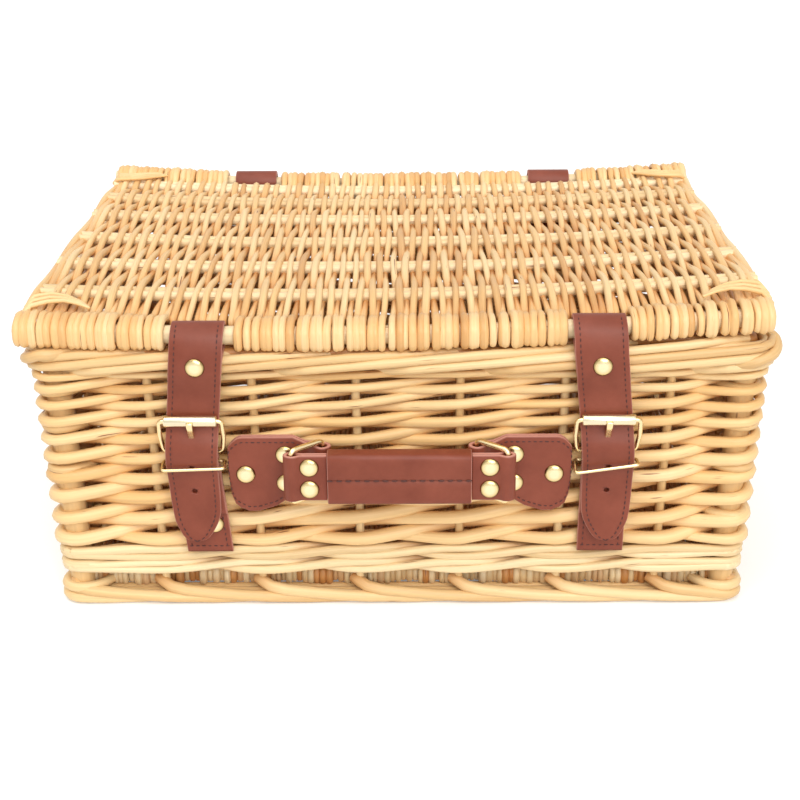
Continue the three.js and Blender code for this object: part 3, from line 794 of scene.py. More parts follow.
# %% [markdown]
# The rim is a rolled border: the stakes' upper ends are laid down to the right, three abreast on the
# outer face, each climbing slowly over the one before and then turning in over the top. It has to
# stay under the lid, which is not quite flat: its ends bow up a little and its front edge drops. So
# the lid's bow comes first, and the rim's rods are laid inward where they would touch it.

# %% The lid's bow and the rim's top
LID_LEVEL = -2.0
LID_BOW = 6.4
LID_TWIST = 3.2
LID_DROP = -5.0
LID_HALF_LENGTH = 205.0
LID_HALF_DEPTH = 143.0
DROP_FROM = 105.0
DROP_DEPTH = LID_HALF_DEPTH - DROP_FROM
RIM_TOP = 163.0
RIM_FOLLOWS = 0.7
END_HALF = 100.0


def lid_rise(x, y):
    """How far the lid lies above or below its middle plane."""
    across, back = x / LID_HALF_LENGTH, y / LID_HALF_DEPTH
    front = clamp((-y - DROP_FROM) / DROP_DEPTH)
    bow = LID_BOW * across * across + LID_TWIST * across * (1 - back) / 2
    return LID_LEVEL + bow + LID_DROP * front**1.5


def rim_top(place):
    """The height at which the rim's rods turn in, lower where the lid turns over behind."""
    x, y = place.x / MM, (place.y - MIDDLE_Y) / MM
    rise = lid_rise(x, y)
    top = RIM_TOP + min(0.0, rise)
    if abs(y) < END_HALF:
        top += RIM_FOLLOWS * max(0.0, rise) * math.cos(math.pi * y / (2 * END_HALF))
    return min(top, RIM_TOP - 0.1 - rise) if y > END_HALF else top


def rim_place(run, out, z, turn=0.0):
    """A place in the rim; what would rise above its top is laid inward, `turn` mm for each mm."""
    top = rim_top(wall_place(run, out, z))
    high = z + max(0.0, top - RIM_TOP) * max(0.0, z - RIM_LOW) / (RIM_TOP - RIM_LOW)
    excess = max(0.0, high - top)
    return wall_place(run, out - turn * excess, high - excess)


# %% [markdown]
# Each rim rod follows one path of (distance, offset, height). Behind the rods lie plain rings that
# fill the roll. Round each corner go three more rods, and a thick one folded over them: the knuckle.

# %% Rim
RIM_PATH = (
    (-6.0, 0.0, 145.0),
    (2.0, 5.0, 146.4),
    (12.0, 9.0, 148.2),
    (57.0, 9.8, 152.2),
    (114.0, 9.7, 157.6),
    (156.0, 9.3, 161.6),
    (174.0, 6.5, 163.0),
    (192.0, 1.0, 162.8),
)
RIM_STEPS = 56
RIM_RADIUS = 2.75
RIM_TONES = (0.75, 0.2, 0.5)
RIM_START = 12.0
RIM_TURN_IN = 1.3
RIM_RINGS = (
    (3.0, 149.6, 3.4),
    (3.0, 156.0, 3.4),
    (-1.2, 161.4, 3.2),
    (-1.0, 149.4, 3.0),
    (-1.2, 155.4, 3.0),
)
CORNER_LEVELS = (149.2, 154.2, 159.2)
CORNER_STEPS = 36
CORNER_ROD_RADIUS = 2.9
CORNER_ROD_THINNING = 0.5
CORNER_PATH = (
    (-46.0, 5.0),
    (-26.0, 5.6),
    (-8.0, 5.8),
    (8.0, 6.0),
    (24.0, 5.8),
    (42.0, 5.2),
    (60.0, 2.4),
)
KNUCKLE_RADIUS = 3.2
KNUCKLE_STEPS = 24
KNUCKLE_PATH = (
    (26.0, -1.0, 163.0),
    (19.0, 5.0, 163.6),
    (9.0, 11.4, 160.6),
    (1.0, 12.8, 156.0),
    (-7.0, 11.0, 152.0),
    (-20.0, 6.0, 148.0),
)


def corner_rods(corner, chance):
    lines = []
    half = CORNER_STEPS / 2
    for level in CORNER_LEVELS:
        path = walk(CORNER_PATH, CORNER_STEPS)
        points = []
        for n, (run, out) in enumerate(path):
            points.append(rim_place(corner + run, out, level + n / CORNER_STEPS))
        radii = [CORNER_ROD_RADIUS - CORNER_ROD_THINNING * abs(n - half) / half for n in range(len(path))]
        lines.append(line_of(points, radii, chance.uniform(0.15, 0.75)))
    middle = corner + CORNER_RUN / 2
    points = [rim_place(middle + run, out, z) for run, out, z in walk(KNUCKLE_PATH, KNUCKLE_STEPS)]
    lines.append(line_of(points, KNUCKLE_RADIUS, 0.12))
    return lines


def rim_lines():
    chance = random.Random(41)
    lines = []
    for i in range(ROD_COUNT):
        start = i * AROUND / ROD_COUNT + RIM_START
        size = chance.uniform(0.95, 1.06)
        path = walk(RIM_PATH, RIM_STEPS)
        points = [rim_place(start + run, out, z, RIM_TURN_IN) for run, out, z in path]
        radii = [(RIM_RADIUS - 0.25 * n / RIM_STEPS) * size for n in range(len(path))]
        lines.append(line_of(points, radii, RIM_TONES[i % 3] + chance.uniform(-0.15, 0.15)))
    for out, z, thick in RIM_RINGS:
        points = [rim_place(AROUND * n / RING_POINTS, out, z) for n in range(RING_POINTS)]
        # the filling rings lie behind the rods and get painted shade
        lines.append(line_of(points, thick, chance.uniform(0.2, 0.4), 0.8, closed=True))
    for corner in CORNERS:
        lines += corner_rods(corner, chance)
    return lines


rim = rods("rim_weave", rim_lines(), GOLD, sides=9, uneven=0.03, seed=6)
dress(rim, "basket", "willow_brown", "rim_border")

# %% [markdown]
# The base is a mat of its own: split strands run from front to back, over and under long sticks,
# and are turned down round the edge. Their ends are what shows behind the open row, in mixed widths
# and tones with more or less painted shade, so each strand gets its own by chance, with a fixed seed.

# %% Base mat
BASE_Z = 15.1
BASE_HALF = 182.0
BASE_EDGE = 132.0
BASE_STICKS = (-104.0, -72.0, -40.0, -8.0, 24.0, 56.0, 88.0, 112.0)
BASE_CLOSENESS = 0.82
BASE_STICK_RADIUS = 1.6
BASE_STICK_PLACES = (-178.0, -60.0, 60.0, 178.0)


def base_lines():
    chance = random.Random(51)
    lines = []
    x = -BASE_HALF
    turn = 0
    last = 0.0
    while x < BASE_HALF:
        radius = chance.uniform(1.5, 2.7)
        x += BASE_CLOSENESS * (last + radius)
        last = radius
        end = BASE_EDGE - chance.choice((0.0, 0.0, 1.5, 3.0))
        # painted shade on the strand's turned ends, more or less by chance; its middle under the basket
        # gets full painted shade
        shade = chance.choice((0.0, 0.0, 0.1, 0.5, 1.0))
        edge = [(end - 9.0, -3.5), (end, -7.5), (end + 2.6, -6.5), (end + 3.0, -2.0), (end, 2.3)]
        points = [at(x, -y, BASE_Z + z) for y, z in edge]
        for k, y in enumerate(BASE_STICKS):
            points.append(at(x, y, BASE_Z + BASE_STICK_RADIUS * (1 if (turn + k) % 2 else -1)))
        points += [at(x, y, BASE_Z + z) for y, z in reversed(edge)]
        painted_shades = [shade] * len(edge) + [1.0] * len(BASE_STICKS) + [shade] * len(edge)
        lines.append(line_of(points, radius, chance.uniform(0.3, 1.0), painted_shades))
        turn += 1
    for y in (-BASE_EDGE, *BASE_STICKS, BASE_EDGE):
        points = [at(x, y, BASE_Z) for x in BASE_STICK_PLACES]
        lines.append(line_of(points, BASE_STICK_RADIUS, chance.random()))
    return lines


base = rods("base_weave", base_lines(), PALE, sides=6)
dress(base, "basket", "willow_pale", "base_mat")

# %% [markdown]
# The lid is a flat mat with a rod along the front and the back. Thin weavers run from front to back,
# one over and one under each pair of sticks, and wrap round the two rods, which makes the thick roll
# at the lid's front edge. The weavers stop short where a leather loop holds a rod. A flat sheet with
# a pattern would look smooth at this angle, so every weaver is a rod here too.

# %% Lid sizes
rod_low, rod_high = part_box("lid_rod_front")
LID_Z = (rod_low.z + rod_high.z) / 2 / MM
rod_low, rod_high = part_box("lid_rod_back")
ROD_Y = (rod_low.y + rod_high.y) / 2 / MM - MIDDLE_Y / MM
ROD_DROP = 2.5
LID_NARROWING = 0.022
LID_SHIFT = -2.0


def lid_place(x, y, z):
    """A place in the lid, `z` above the lid's middle plane. The mat is a little narrower at the back."""
    narrow = 1 - LID_NARROWING * (1 + y / ROD_Y) / 2
    return at(x * narrow + LID_SHIFT, y, LID_Z + lid_rise(x, y) + z)


print("lid axis height", round(LID_Z, 1), "rod at", round(ROD_Y, 1))

# %% Lid rods and sticks
ROD_FROM, ROD_LENGTH = -207.0, 412.0
FRONT_ROD_RADIUS = 5.2
BACK_ROD_RADIUS = 4.8
STICK_ROWS = [-99.0, -49.0, 1.0, 51.0, 91.0, 125.0]
STICK_RADIUS = 3.0
STICK_APART = 3.15
STICK_HALF = 204.5


def lid_stick_lines():
    chance = random.Random(61)
    lines = []
    for y, drop, radius in ((-ROD_Y, -ROD_DROP, FRONT_ROD_RADIUS), (ROD_Y, 0.0, BACK_ROD_RADIUS)):
        points = [lid_place(ROD_FROM + ROD_LENGTH * n / 20, y, drop) for n in range(21)]
        lines.append(line_of(points, radius, 0.75))
    for y in STICK_ROWS:
        for side in (-1, 1):
            wave = chance.uniform(0, FULL_TURN)
            points = []
            for n in range(15):
                x = -STICK_HALF + 2 * STICK_HALF * n / 14
                points.append(lid_place(x, y + side * STICK_APART + 0.4 * math.sin(n * 0.9 + wave), 0.0))
            lines.append(line_of(points, STICK_RADIUS, chance.random()))
    return lines


LID_STICK_NODES = ["lid_sticks_%d" % i for i in range(1, 7)]
sticks = rods("lid_sticks", lid_stick_lines(), PALE, sides=10, uneven=0.04, seed=7)
dress(sticks, "lid", "willow_pale", "lid_rod_front", "lid_rod_back", *LID_STICK_NODES)

# %% [markdown]
# One function lays out a weaver: up round the front rod, over and under the sticks, and down round
# the back rod. The turn round a rod is flat in front and sloped above, as (out, up) from the rod's
# middle. The front windows are where the straps hold the front rod, as places along it.

# %% How one weaver of the lid goes
ROLL_LINE = (
    (4.0, -5.0),
    (-1.0, -5.6),
    (-5.8, -5.2),
    (-7.2, -3.4),
    (-7.4, -0.6),
    (-7.2, 2.2),
    (-5.8, 4.6),
    (-1.8, 6.4),
    (3.0, 7.0),
    (7.6, 5.5),
    (12.0, 2.2),
)
ROLL_WIDER = 1.14
ROLL_PAINTED_SHADE = 0.12
FRONT_WINDOWS = ((-126.6, -84.0), (91.6, 129.6))
HINGE_X = 104.0
BACK_WINDOW = 18.0
SPAN_STEPS = 6


def roll_points(sign, sink):
    """The turn of a weaver round a frame rod, from below to the top, as (y, z)."""
    share = 1 - sink / 8.0
    drop = ROD_DROP if sign > 0 else 0.0
    return [(sign * (-ROD_Y + out * share), rise * share - drop) for out, rise in ROLL_LINE]


def weaver_points(index, x, radius, chance, swing=1.0):
    """Points, radii and painted shade amounts of one weaver, from under the front roll to under the back
    one.
    """
    over = swing * (STICK_RADIUS * 0.66 + radius * 0.5)
    wide = radius * ROLL_WIDER
    sink = chance.uniform(-0.4, 1.0)
    front_window = any(start < x < end for start, end in FRONT_WINDOWS)
    back_window = abs(abs(lid_place(x, ROD_Y, 0.0).x / MM) - HINGE_X) < BACK_WINDOW
    line = [(-ROD_Y + 11.5, -3.0), (-ROD_Y + 12.0, -0.5)] if front_window else roll_points(1, sink)
    radii = [radius if front_window else wide] * len(line)
    stops = [(y, over if (index + k) % 2 else -over) for k, y in enumerate(STICK_ROWS)]
    stops.append((ROD_Y - 14.6, -0.5) if back_window else (ROD_Y - 12.0, 2.2))
    for y, z in stops:
        last_y, last_z = line[-1]
        for n in range(1, SPAN_STEPS + 1):
            share = n / SPAN_STEPS
            line.append((last_y + (y - last_y) * n / SPAN_STEPS, ease(last_z, z, share)))
            radii.append(radius)
    ending = [(ROD_Y - 14.2, -3.0)] if back_window else roll_points(-1, sink)[::-1][1:]
    line += ending
    radii += [radius if back_window else wide] * len(ending)
    lean = chance.uniform(-1.0, 1.0)
    sway = chance.uniform(0, FULL_TURN)
    inner = ROD_Y - 10.0
    # painted shade where the weaver dips under a stick, and a little on the rolls
    painted_shades = [clamp((0.8 - z) / 4.5, 0.0, 0.7) if abs(y) < inner else ROLL_PAINTED_SHADE for y, z in line]
    places = [lid_place(x + 0.7 * math.sin(y / 17 + sway) + lean * y / 150, y, z) for y, z in line]
    return places, radii, painted_shades


# %% Lid weavers
WEAVER_COUNT = 102
WEAVER_SPAN = 196.0
WEAVER_LEAST, WEAVER_MOST = 1.75, 2.4
WINDOW_PULL = 1.9
FLAT_FRONT = 8.2
FLAT_SHARE = 0.2


def weaver_lines():
    chance = random.Random(71)
    lines = []
    for index in range(WEAVER_COUNT):
        x = -WEAVER_SPAN + 2 * WEAVER_SPAN * index / (WEAVER_COUNT - 1) + chance.uniform(-0.4, 0.4)
        for edge in FRONT_WINDOWS[0] + FRONT_WINDOWS[1]:
            x = edge if abs(x - edge) < WINDOW_PULL else x
        radius = chance.uniform(WEAVER_LEAST, WEAVER_MOST)
        points, radii, painted_shades = weaver_points(index, x, radius, chance)
        lines.append(line_of(points, radii, chance.random(), painted_shades))
    return lines


weavers = rods("lid_weave", weaver_lines(), TAN, sides=8, uneven=0.05, seed=8)
# the strands lie flattened on the front of the roll
flat_front = at(0.0, -ROD_Y - FLAT_FRONT, 0.0).y
for vertex in weavers.data.vertices:
    past = flat_front - vertex.co.y
    if past > 0:
        vertex.co.y = flat_front - FLAT_SHARE * past
dress(weavers, "lid", "willow_brown", "lid_mat")

# %% [markdown]
# At the lid's ends thicker weavers close the mat, and at each corner three thin rods are laid over
# the end of the roll and run out to a point among the weavers. They fan out, so one path serves all
# three, shifted and narrowed by the rod's place in the fan.

# %% Lid edges and corner lashings
EDGE_WEAVERS = ((199.8, 2.5), (203.4, 2.3))
EDGE_SWING = 0.3
LASHINGS = 3
LASHING_GAP = 4.6
LASHING_STEPS = 24


def lashing_path(k):
    fan = (k - 1) * LASHING_GAP
    return (
        (204.0, 135.0 + fan, -4.0),
        (205.0, 130.0 + fan * 1.2, 1.0),
        (201.0, 125.5 + fan * 1.2, 5.2),
        (192.0, 123.0 + fan, 6.4),
        (183.0, 124.5 + fan * 0.8, 6.6 + 0.5 * k),
        (175.0, 128.5 + fan * 0.5, 6.6 + 0.5 * k),
        (168.0, 132.5, 6.0),
    )


def lid_edge_lines():
    chance = random.Random(81)
    lines = []
    for sx in (-1, 1):
        for k, (x, radius) in enumerate(EDGE_WEAVERS):
            own_chance = random.Random(83 + k)
            points, radii, painted_shades = weaver_points(k + (sx > 0), sx * x, radius, own_chance, EDGE_SWING)
            lines.append(line_of(points, radii, chance.random(), painted_shades))
        for sy in (-1, 1):
            for k in range(LASHINGS):
                path = walk(lashing_path(k), LASHING_STEPS)
                points = [lid_place(sx * x, sy * y, z) for x, y, z in path]
                radii = [1.55 - 0.75 * (n / LASHING_STEPS) ** 2 for n in range(len(path))]
                lines.append(line_of(points, radii, chance.uniform(0.5, 1.0)))
    return lines


lid_edges = rods("lid_edges", lid_edge_lines(), TAN, sides=8, uneven=0.04, seed=9)
dress(lid_edges, "lid", "willow_brown")

# %% [markdown]
# The leather is a reddish brown strap hide, smooth and slightly mottled, with pale pinkish cut
# edges. Edges could be separate faces with a second finish, but the change is soft on the real
# strap. So a strip carries the value `edge`, 0 on its faces and 1 on its cut edges, for the finish.

# %% Leather, thread and brass finishes
def leather_finish():
    material, tree, shader = start_material("leather_brown")
    where = new_node(tree, "ShaderNodeTexCoord").outputs["Object"]
    cloud = noise(tree, where, Scale=45.0, Detail=4.0, Roughness=0.6)
    face = ramp(tree, cloud, [(0.3, (0.18, 0.036, 0.016)), (0.72, (0.245, 0.057, 0.029))])
    colour = colour_mix(tree, "MIX", attribute(tree, "edge"), face, (0.58, 0.27, 0.21))
    set_inputs(shader, Base_Color=colour, Roughness=0.46, Specular_IOR_Level=0.35)
    emboss(tree, shader, noise(tree, where, Scale=900.0, Detail=3.0), 0.15, 0.0004)
    return material


def plain_finish(name, colour, roughness, metallic=0.0):
    material, _, shader = start_material(name)
    set_inputs(shader, Base_Color=colour, Roughness=roughness, Metallic=metallic)
    return material


HIDE = leather_finish()
THREAD = plain_finish("thread_dark", (0.075, 0.022, 0.016), 0.7)
BRASS = plain_finish("brass_aged", (0.86, 0.71, 0.40), 0.24, 1.0)
PALE_BRASS = plain_finish("brass_pale", (0.80, 0.70, 0.48), 0.22, 1.0)
print("finishes:", HIDE.name, THREAD.name, BRASS.name, PALE_BRASS.name)

# %% [markdown]
# A strip of leather is a path with a width and a thickness. The path may bend round a rod or a wire.
# A flat sheet with a Solidify modifier would have sharp edges, so each place on the path gets a ring
# of points instead, a flat shape with rounded edges, and the rings are joined to a closed skin.

# %% Smooth lines
def smooth_line(points, per_span=6):
    """A smooth line through the given points, as tuples of any length."""
    line = []
    count = len(points)
    for i in range(count - 1):
        near = [points[max(i - 1, 0)], points[i], points[i + 1], points[min(i + 2, count - 1)]]
        for n in range(per_span):
            t = n / per_span
            place = []
            for a, b, c, d in zip(*near):
                square = 2 * a - 5 * b + 4 * c - d
                cube = 3 * b - a - 3 * c + d
                place.append(0.5 * (2 * b + (c - a) * t + square * t * t + cube * t**3))
            line.append(tuple(place))
    line.append(tuple(points[-1]))
    return line


# %% Leather strips
LEATHER = 2.4
STITCH_LIFT = 0.05
FACE_UP = LEATHER / 2 + STITCH_LIFT
X_AXIS = Vector((1, 0, 0))
Z_AXIS = Vector((0, 0, 1))
EDGE_ROUNDING = 0.7
LEAST_HALF = 0.4
QUARTER_MARKS = (0.0, 0.0, 0.35, 1.0)
STRIP_MARKS = (QUARTER_MARKS + QUARTER_MARKS[::-1]) * 2


def skin(name, rings, marks, finish, closed=False):
    """Joins rings of points to one closed mesh. `marks` holds one edge value per point of a ring."""
    size = len(rings[0])
    points = [p for ring in rings for p in ring]
    faces = []
    for i in range(len(rings) if closed else len(rings) - 1):
        a, b = i * size, ((i + 1) % len(rings)) * size
        for k in range(size):
            n = (k + 1) % size
            faces.append((a + k, a + n, b + n, b + k))
    if not closed:
        faces.append(tuple(range(size)))
        faces.append(tuple(reversed(range(len(points) - size, len(points)))))
    mesh = bpy.data.meshes.new(name)
    mesh.from_pydata(points, [], faces)
    mesh.attributes.new("edge", "FLOAT", "POINT").data.foreach_set("value", list(marks) * len(rings))
    mesh.materials.append(finish)
    face_outward(mesh)
    mesh.shade_smooth()
    print(name, "faces:", len(mesh.polygons))
    return new_object(name, mesh)


def strip_frames(line, across, closed=False):
    """(place, across, face) at each point of a line in metres; face points to the strip's upper side."""
    found = []
    count = len(line)
    for i, place in enumerate(line):
        before = line[i - 1] if i or closed else line[i]
        after = line[(i + 1) % count] if i < count - 1 or closed else line[i]
        tangent = (after - before).normalized()
        found.append((place, across, tangent.cross(across).normalized()))
    return found


def strip(name, line, across, halves, finish=HIDE, thickness=LEATHER, closed=False):
    """A strip along a line in metres; `halves` holds half its width at each point."""
    rings = []
    t = thickness / 2 * MM
    for (place, side, face), half in zip(strip_frames(line, across, closed), halves):
        h = max(half, LEAST_HALF) * MM
        soft = min(EDGE_ROUNDING * MM, h * 0.6)
        inner = (h - soft) * 0.22
        top = ((inner, t), (h - soft, t), (h - soft * 0.3, t * 0.85), (h, t * 0.4))
        shape = top + tuple((a, -b) for a, b in reversed(top))
        ring = [place + side * a + face * b for a, b in shape]
        ring += [place - side * a + face * b for a, b in reversed(shape)]
        rings.append(ring)
    return skin(name, rings, STRIP_MARKS, finish, closed)


# %% [markdown]
# Stitches are short dark threads, half sunk in the leather's face, in even steps along a line a few
# millimetres inside the edge. A second tree walks along any line and puts one thread at each step,
# turned along the line. Painted stitches would not catch the light as the real ones do.

# %% A tree that sews along lines
def stitch_tree():
    sizes = {"Step": "Float", "Length": "Float", "Width": "Float", "Seed": "Int"}
    tree, given = new_tree("stitches_on_lines", **sizes, Finish="Material")
    curves = geometry_step(tree, "MeshToCurve", given["Geometry"])
    spaced = geometry_step(tree, "ResampleCurve", curves, {"mode": "LENGTH"}, Length=given["Step"])
    thread = set_inputs(new_node(tree, "GeometryNodeMeshUVSphere"), Segments=6, Rings=5, Radius=0.5)
    size = new_node(tree, "ShaderNodeCombineXYZ")
    set_inputs(size, X=given["Width"], Y=given["Width"], Z=given["Length"])
    vary = new_node(tree, "FunctionNodeRandomValue", data_type="FLOAT")
    for socket, value in ((vary.inputs[2], 0.85), (vary.inputs[3], 1.15)):
        feed(socket, value)
    set_inputs(vary, Seed=given["Seed"])
    tangent = new_node(tree, "GeometryNodeInputTangent").outputs["Tangent"]
    turn = set_inputs(new_node(tree, "FunctionNodeAlignRotationToVector", axis="Z"), Vector=tangent)
    threads = geometry_step(
        tree,
        "InstanceOnPoints",
        spaced,
        Instance=thread.outputs["Mesh"],
        Rotation=turn.outputs["Rotation"],
        Scale=vector_calc(tree, "SCALE", size.outputs[0], vary.outputs[1]),
    )
    return end_tree(tree, threads, given["Finish"])


STITCH_TREE = stitch_tree()
STITCH_IN = 3.0


def sew(name, lines, body, step=3.2, length=2.1, width=0.75):
    """Stitches along lines in metres, as one piece on one body."""
    obj = lines_object(name, [line_of(line, 1.0, 0.0) for line in lines])
    sizes = {"Step": step * MM, "Length": length * MM, "Width": width * MM}
    grow(obj, STITCH_TREE, **sizes, Seed=2, Finish=THREAD)
    dress(obj, body, "leather_brown")
    print(name, "stitch faces:", len(obj.data.polygons))
    return obj


def edge_lines(line, across, halves, lift, first=0, last=None):
    """Two lines inside a strip's edges, on the face that `lift` points to."""
    frames = strip_frames(line, across)[first:last]
    found = []
    for sign in (-1, 1):
        points = []
        for (place, side, face), half in zip(frames, halves[first:last]):
            if half > STITCH_IN + 0.5:
                points.append(place + side * sign * (half - STITCH_IN) * MM + face * lift * MM)
        found.append(points)
    return found


# %% [markdown]
# The lid strap starts as a loop round the lid's front rod, riveted to itself in front of the rim.
# It hangs down behind the buckle's roller, is lifted by the heel bar under it, and ends in a
# tapered tail with two punched holes. Its way is a line of (y, z), and its tail's outline a short
# table of (height above the tip, share of the width). The straps of a used hamper lean a little, so
# each has its own lean above and below the buckle.

# %% The lid strap's way
STRAP_LOOP = 6.7
TAIL_Z = 46.8
STRAP_LINE = (
    (-153.5, 147.6),
    (-153.5, 154.0),
    (-153.4, 161.0),
    (-151.4, 166.3),
    (-147.4, 168.4),
    (-143.0, LID_Z - STRAP_LOOP),
    (-138.3, LID_Z - 4.7),
    (-136.3, LID_Z),
    (-138.3, LID_Z + 4.7),
    (-143.0, LID_Z + STRAP_LOOP),
    (-148.4, 181.4),
    (-152.6, 178.0),
    (-154.9, 172.0),
    (-155.9, 165.0),
    (-155.9, 154.0),
    (-155.7, 148.0),
    (-154.6, 142.0),
    (-154.0, 135.0),
    (-154.5, 127.0),
    (-154.6, 121.0),
    (-156.4, 114.0),
    (-158.7, 108.0),
    (-159.3, 103.0),
    (-158.7, 98.0),
    (-157.2, 92.0),
    (-156.3, 86.0),
    (-156.1, 78.0),
    (-156.1, 66.0),
    (-156.1, 58.0),
    (-156.1, 53.0),
    (-156.1, 49.5),
    (-156.1, 47.8),
    (-156.1, TAIL_Z),
)
TAIL_EDGE = (
    (0.0, 0.0),
    (0.6, 0.24),
    (1.4, 0.37),
    (2.7, 0.48),
    (5.1, 0.60),
    (10.2, 0.77),
    (13.6, 0.86),
    (18.6, 0.93),
    (27.0, 0.96),
    (56.0, 1.0),
)


def table_value(table, place):
    """The value at a place in a table of (place, value), straight between two rows."""
    for (a, first), (b, second) in zip(table, table[1:]):
        if a <= place <= b:
            return first + (second - first) * (place - a) / (b - a)
    return table[0][1] if place < table[0][0] else table[-1][1]


# %% Holes
HOLE_SIDES = 14


def cut_holes(obj, places, radius, depth):
    """Cuts round holes from front to back through a piece."""
    work = bmesh.new()
    round_punch = {"segments": HOLE_SIDES, "radius1": radius, "radius2": radius, "depth": depth}
    for place in places:
        matrix = Matrix.Translation(place) @ Matrix.Rotation(math.pi / 2, 4, "X")
        bmesh.ops.create_cone(work, cap_ends=True, **round_punch, matrix=matrix)
    mesh = bpy.data.meshes.new("punch")
    work.to_mesh(mesh)
    work.free()
    punch = new_object("punch", mesh)
    cut = obj.modifiers.new("holes", "BOOLEAN")
    cut.operation = "DIFFERENCE"
    cut.solver = "EXACT"
    cut.object = punch
    settle(obj)
    bpy.data.objects.remove(punch)
    bpy.data.meshes.remove(mesh)


# %% Lid straps
STRAP_X = 114.5
STRAP_TOP_X = 110.45
STRAP_HALF = 14.5
STRAP_SLANT = 0.06
PIVOT_Z = 108.7
STRAP_LEAN = {"left": 1.5, "right": -2.0}
TAIL_LEAN = {"left": 3.0, "right": -2.0}
BUCKLE_TOP, LEAN_UP = 120.0, 40.0
BUCKLE_FOOT, LEAN_DOWN = 95.0, 30.0
LOOP_FOOT, LOOP_RISE = 148.0, 18.0
HOLE_HEIGHTS = (94.0, 79.0)
HOLE_RADIUS = 1.5
HOLE_Y = -157.0
PUNCH_DEPTH = 20
LOOP_POINTS = 45
LOOP_FRONT_Z = 182


def strap_x(place, side, z):
    """The strap's middle at a height: both straps draw together upward, and each leans its own way."""
    above = clamp((z - BUCKLE_TOP) / LEAN_UP)
    below = clamp((BUCKLE_FOOT - z) / LEAN_DOWN)
    middle = side * (STRAP_X + STRAP_SLANT * (PIVOT_Z - min(z, LID_Z)))
    return middle + (STRAP_LEAN[place] * above + TAIL_LEAN[place] * below)


for place, side in SIDES:
    dense = smooth_line(STRAP_LINE, 5)
    drop = lid_rise(side * STRAP_TOP_X, -ROD_Y) - ROD_DROP
    hang = [(y, z + drop * clamp((z - LOOP_FOOT) / LOOP_RISE)) for y, z in dense]
    line = [at(strap_x(place, side, z), y, z) for y, z in hang]
    halves = [STRAP_HALF * table_value(TAIL_EDGE, z - TAIL_Z) for y, z in dense]
    strap = strip("strap_" + place, line, X_AXIS, halves)
    holes = [at(strap_x(place, side, z), HOLE_Y, z) for z in HOLE_HEIGHTS]
    cut_holes(strap, holes, HOLE_RADIUS * MM, PUNCH_DEPTH * MM)
    dress(strap, "strap_" + place, "leather_brown", "lid_strap_" + place)
    outer = next(i for i, (y, z) in enumerate(dense) if i > LOOP_POINTS and z < LOOP_FRONT_Z)
    seam = edge_lines(line, X_AXIS, halves, FACE_UP, first=outer)
    sew("strap_stitch_" + place, seam, "strap_" + place)
print("strap length", round(sum((b - a).length for a, b in zip(line, line[1:])) / MM), "mm")

# %% [markdown]
# The buckle strap is riveted to the wall below. It goes up, folds round the heel bar of the buckle
# and comes down again in front, where the tail of the lid strap covers it. It is a strip like the
# lid strap, of one width, and leans a little about the heel bar.

# %% Buckle straps
HEEL_Y = -153.8
HEEL_Z = 102.5
WALL_FACE = -151.0
CHAPE_LINE = (
    (WALL_FACE, 38.0),
    (WALL_FACE, 52.0),
    (WALL_FACE, 70.0),
    (WALL_FACE, 92.0),
    (-151.1, 100.0),
    (-151.6, 103.6),
    (-153.8, 105.4),
    (-156.0, 103.9),
    (-156.6, 101.0),
    (-155.7, 96.0),
    (-153.4, 86.0),
    (-153.4, 74.0),
    (-153.4, 63.0),
)
CHAPE_HALF = 13.1
CHAPE_LEAN = {-1: 0.09, 1: -0.012}
FOOT_SEAM_Z = 41.5
FOOT_SEAM_HALF = 10.3


def chape_x(side, z):
    return side * STRAP_X + CHAPE_LEAN[side] * (HEEL_Z - z)


for place, side in SIDES:
    dense = smooth_line(CHAPE_LINE, 5)
    line = [at(chape_x(side, min(z, HEEL_Z)), y, z) for y, z in dense]
    halves = [CHAPE_HALF] * len(line)
    chape = strip("buckle_strap_" + place, line, X_AXIS, halves)
    dress(chape, "basket", "leather_brown", "buckle_strap_" + place)
    seam = edge_lines(line, X_AXIS, halves, -FACE_UP, first=2, last=18)
    foot_seam = []
    for n in range(9):
        x = chape_x(side, FOOT_SEAM_Z) - side * FOOT_SEAM_HALF + side * 2 * FOOT_SEAM_HALF * n / 8
        foot_seam.append(at(x, WALL_FACE - FACE_UP, FOOT_SEAM_Z + 0.1))
    sew("buckle_strap_stitch_" + place, seam + [foot_seam], "basket")

# %% [markdown]
# The buckle is bent of brass wire: a frame with a heel bar below, a roller on its top bar, and a
# prong that hangs on the heel bar and rests on the roller. A thin wire keeper holds the tail down.
# Wires are lines with rounded corners, so the tree for rods makes them too; the prong is flat metal
# and is made like a strip of leather.

# %% Buckle frame, roller and prong
ROLLER_Y = -159.2
ROLLER_Z = 122.5
FRAME_TOP, FRAME_WIDEST, FRAME_LOW = 17.3, 17.6, 16.2
FRAME_BELLY = (-156.6, 112.5)
FRAME_WIRE = 1.35
FRAME_BEND = 2.6
ROLLER_SHAPE = ((-14.5, 2.7), (-14.2, 3.0), (-13.8, 3.2), (13.8, 3.2), (14.2, 3.0), (14.5, 2.7))
PRONG_EYE = 2.3
PRONG_HALF = 1.8
PRONG_THICK = 1.8
PRONG_TINE = [(-156.0, 106.6), (-157.4, 111.6), (-160.0, 115.8), (-162.8, 119.8), (-163.6, 123.0)]


def closed_wire(corners, radius, bend, steps=5):
    """A closed wire through corner points, with a rounded bend at each."""
    line = []
    count = len(corners)
    for i, corner in enumerate(corners):
        start = corner + (corners[i - 1] - corner).normalized() * bend
        stop = corner + (corners[(i + 1) % count] - corner).normalized() * bend
        for n in range(steps + 1):
            t = n / steps
            line.append((1 - t) ** 2 * start + 2 * t * (1 - t) * corner + t * t * stop)
    return line_of(line, radius, 0.5, closed=True)


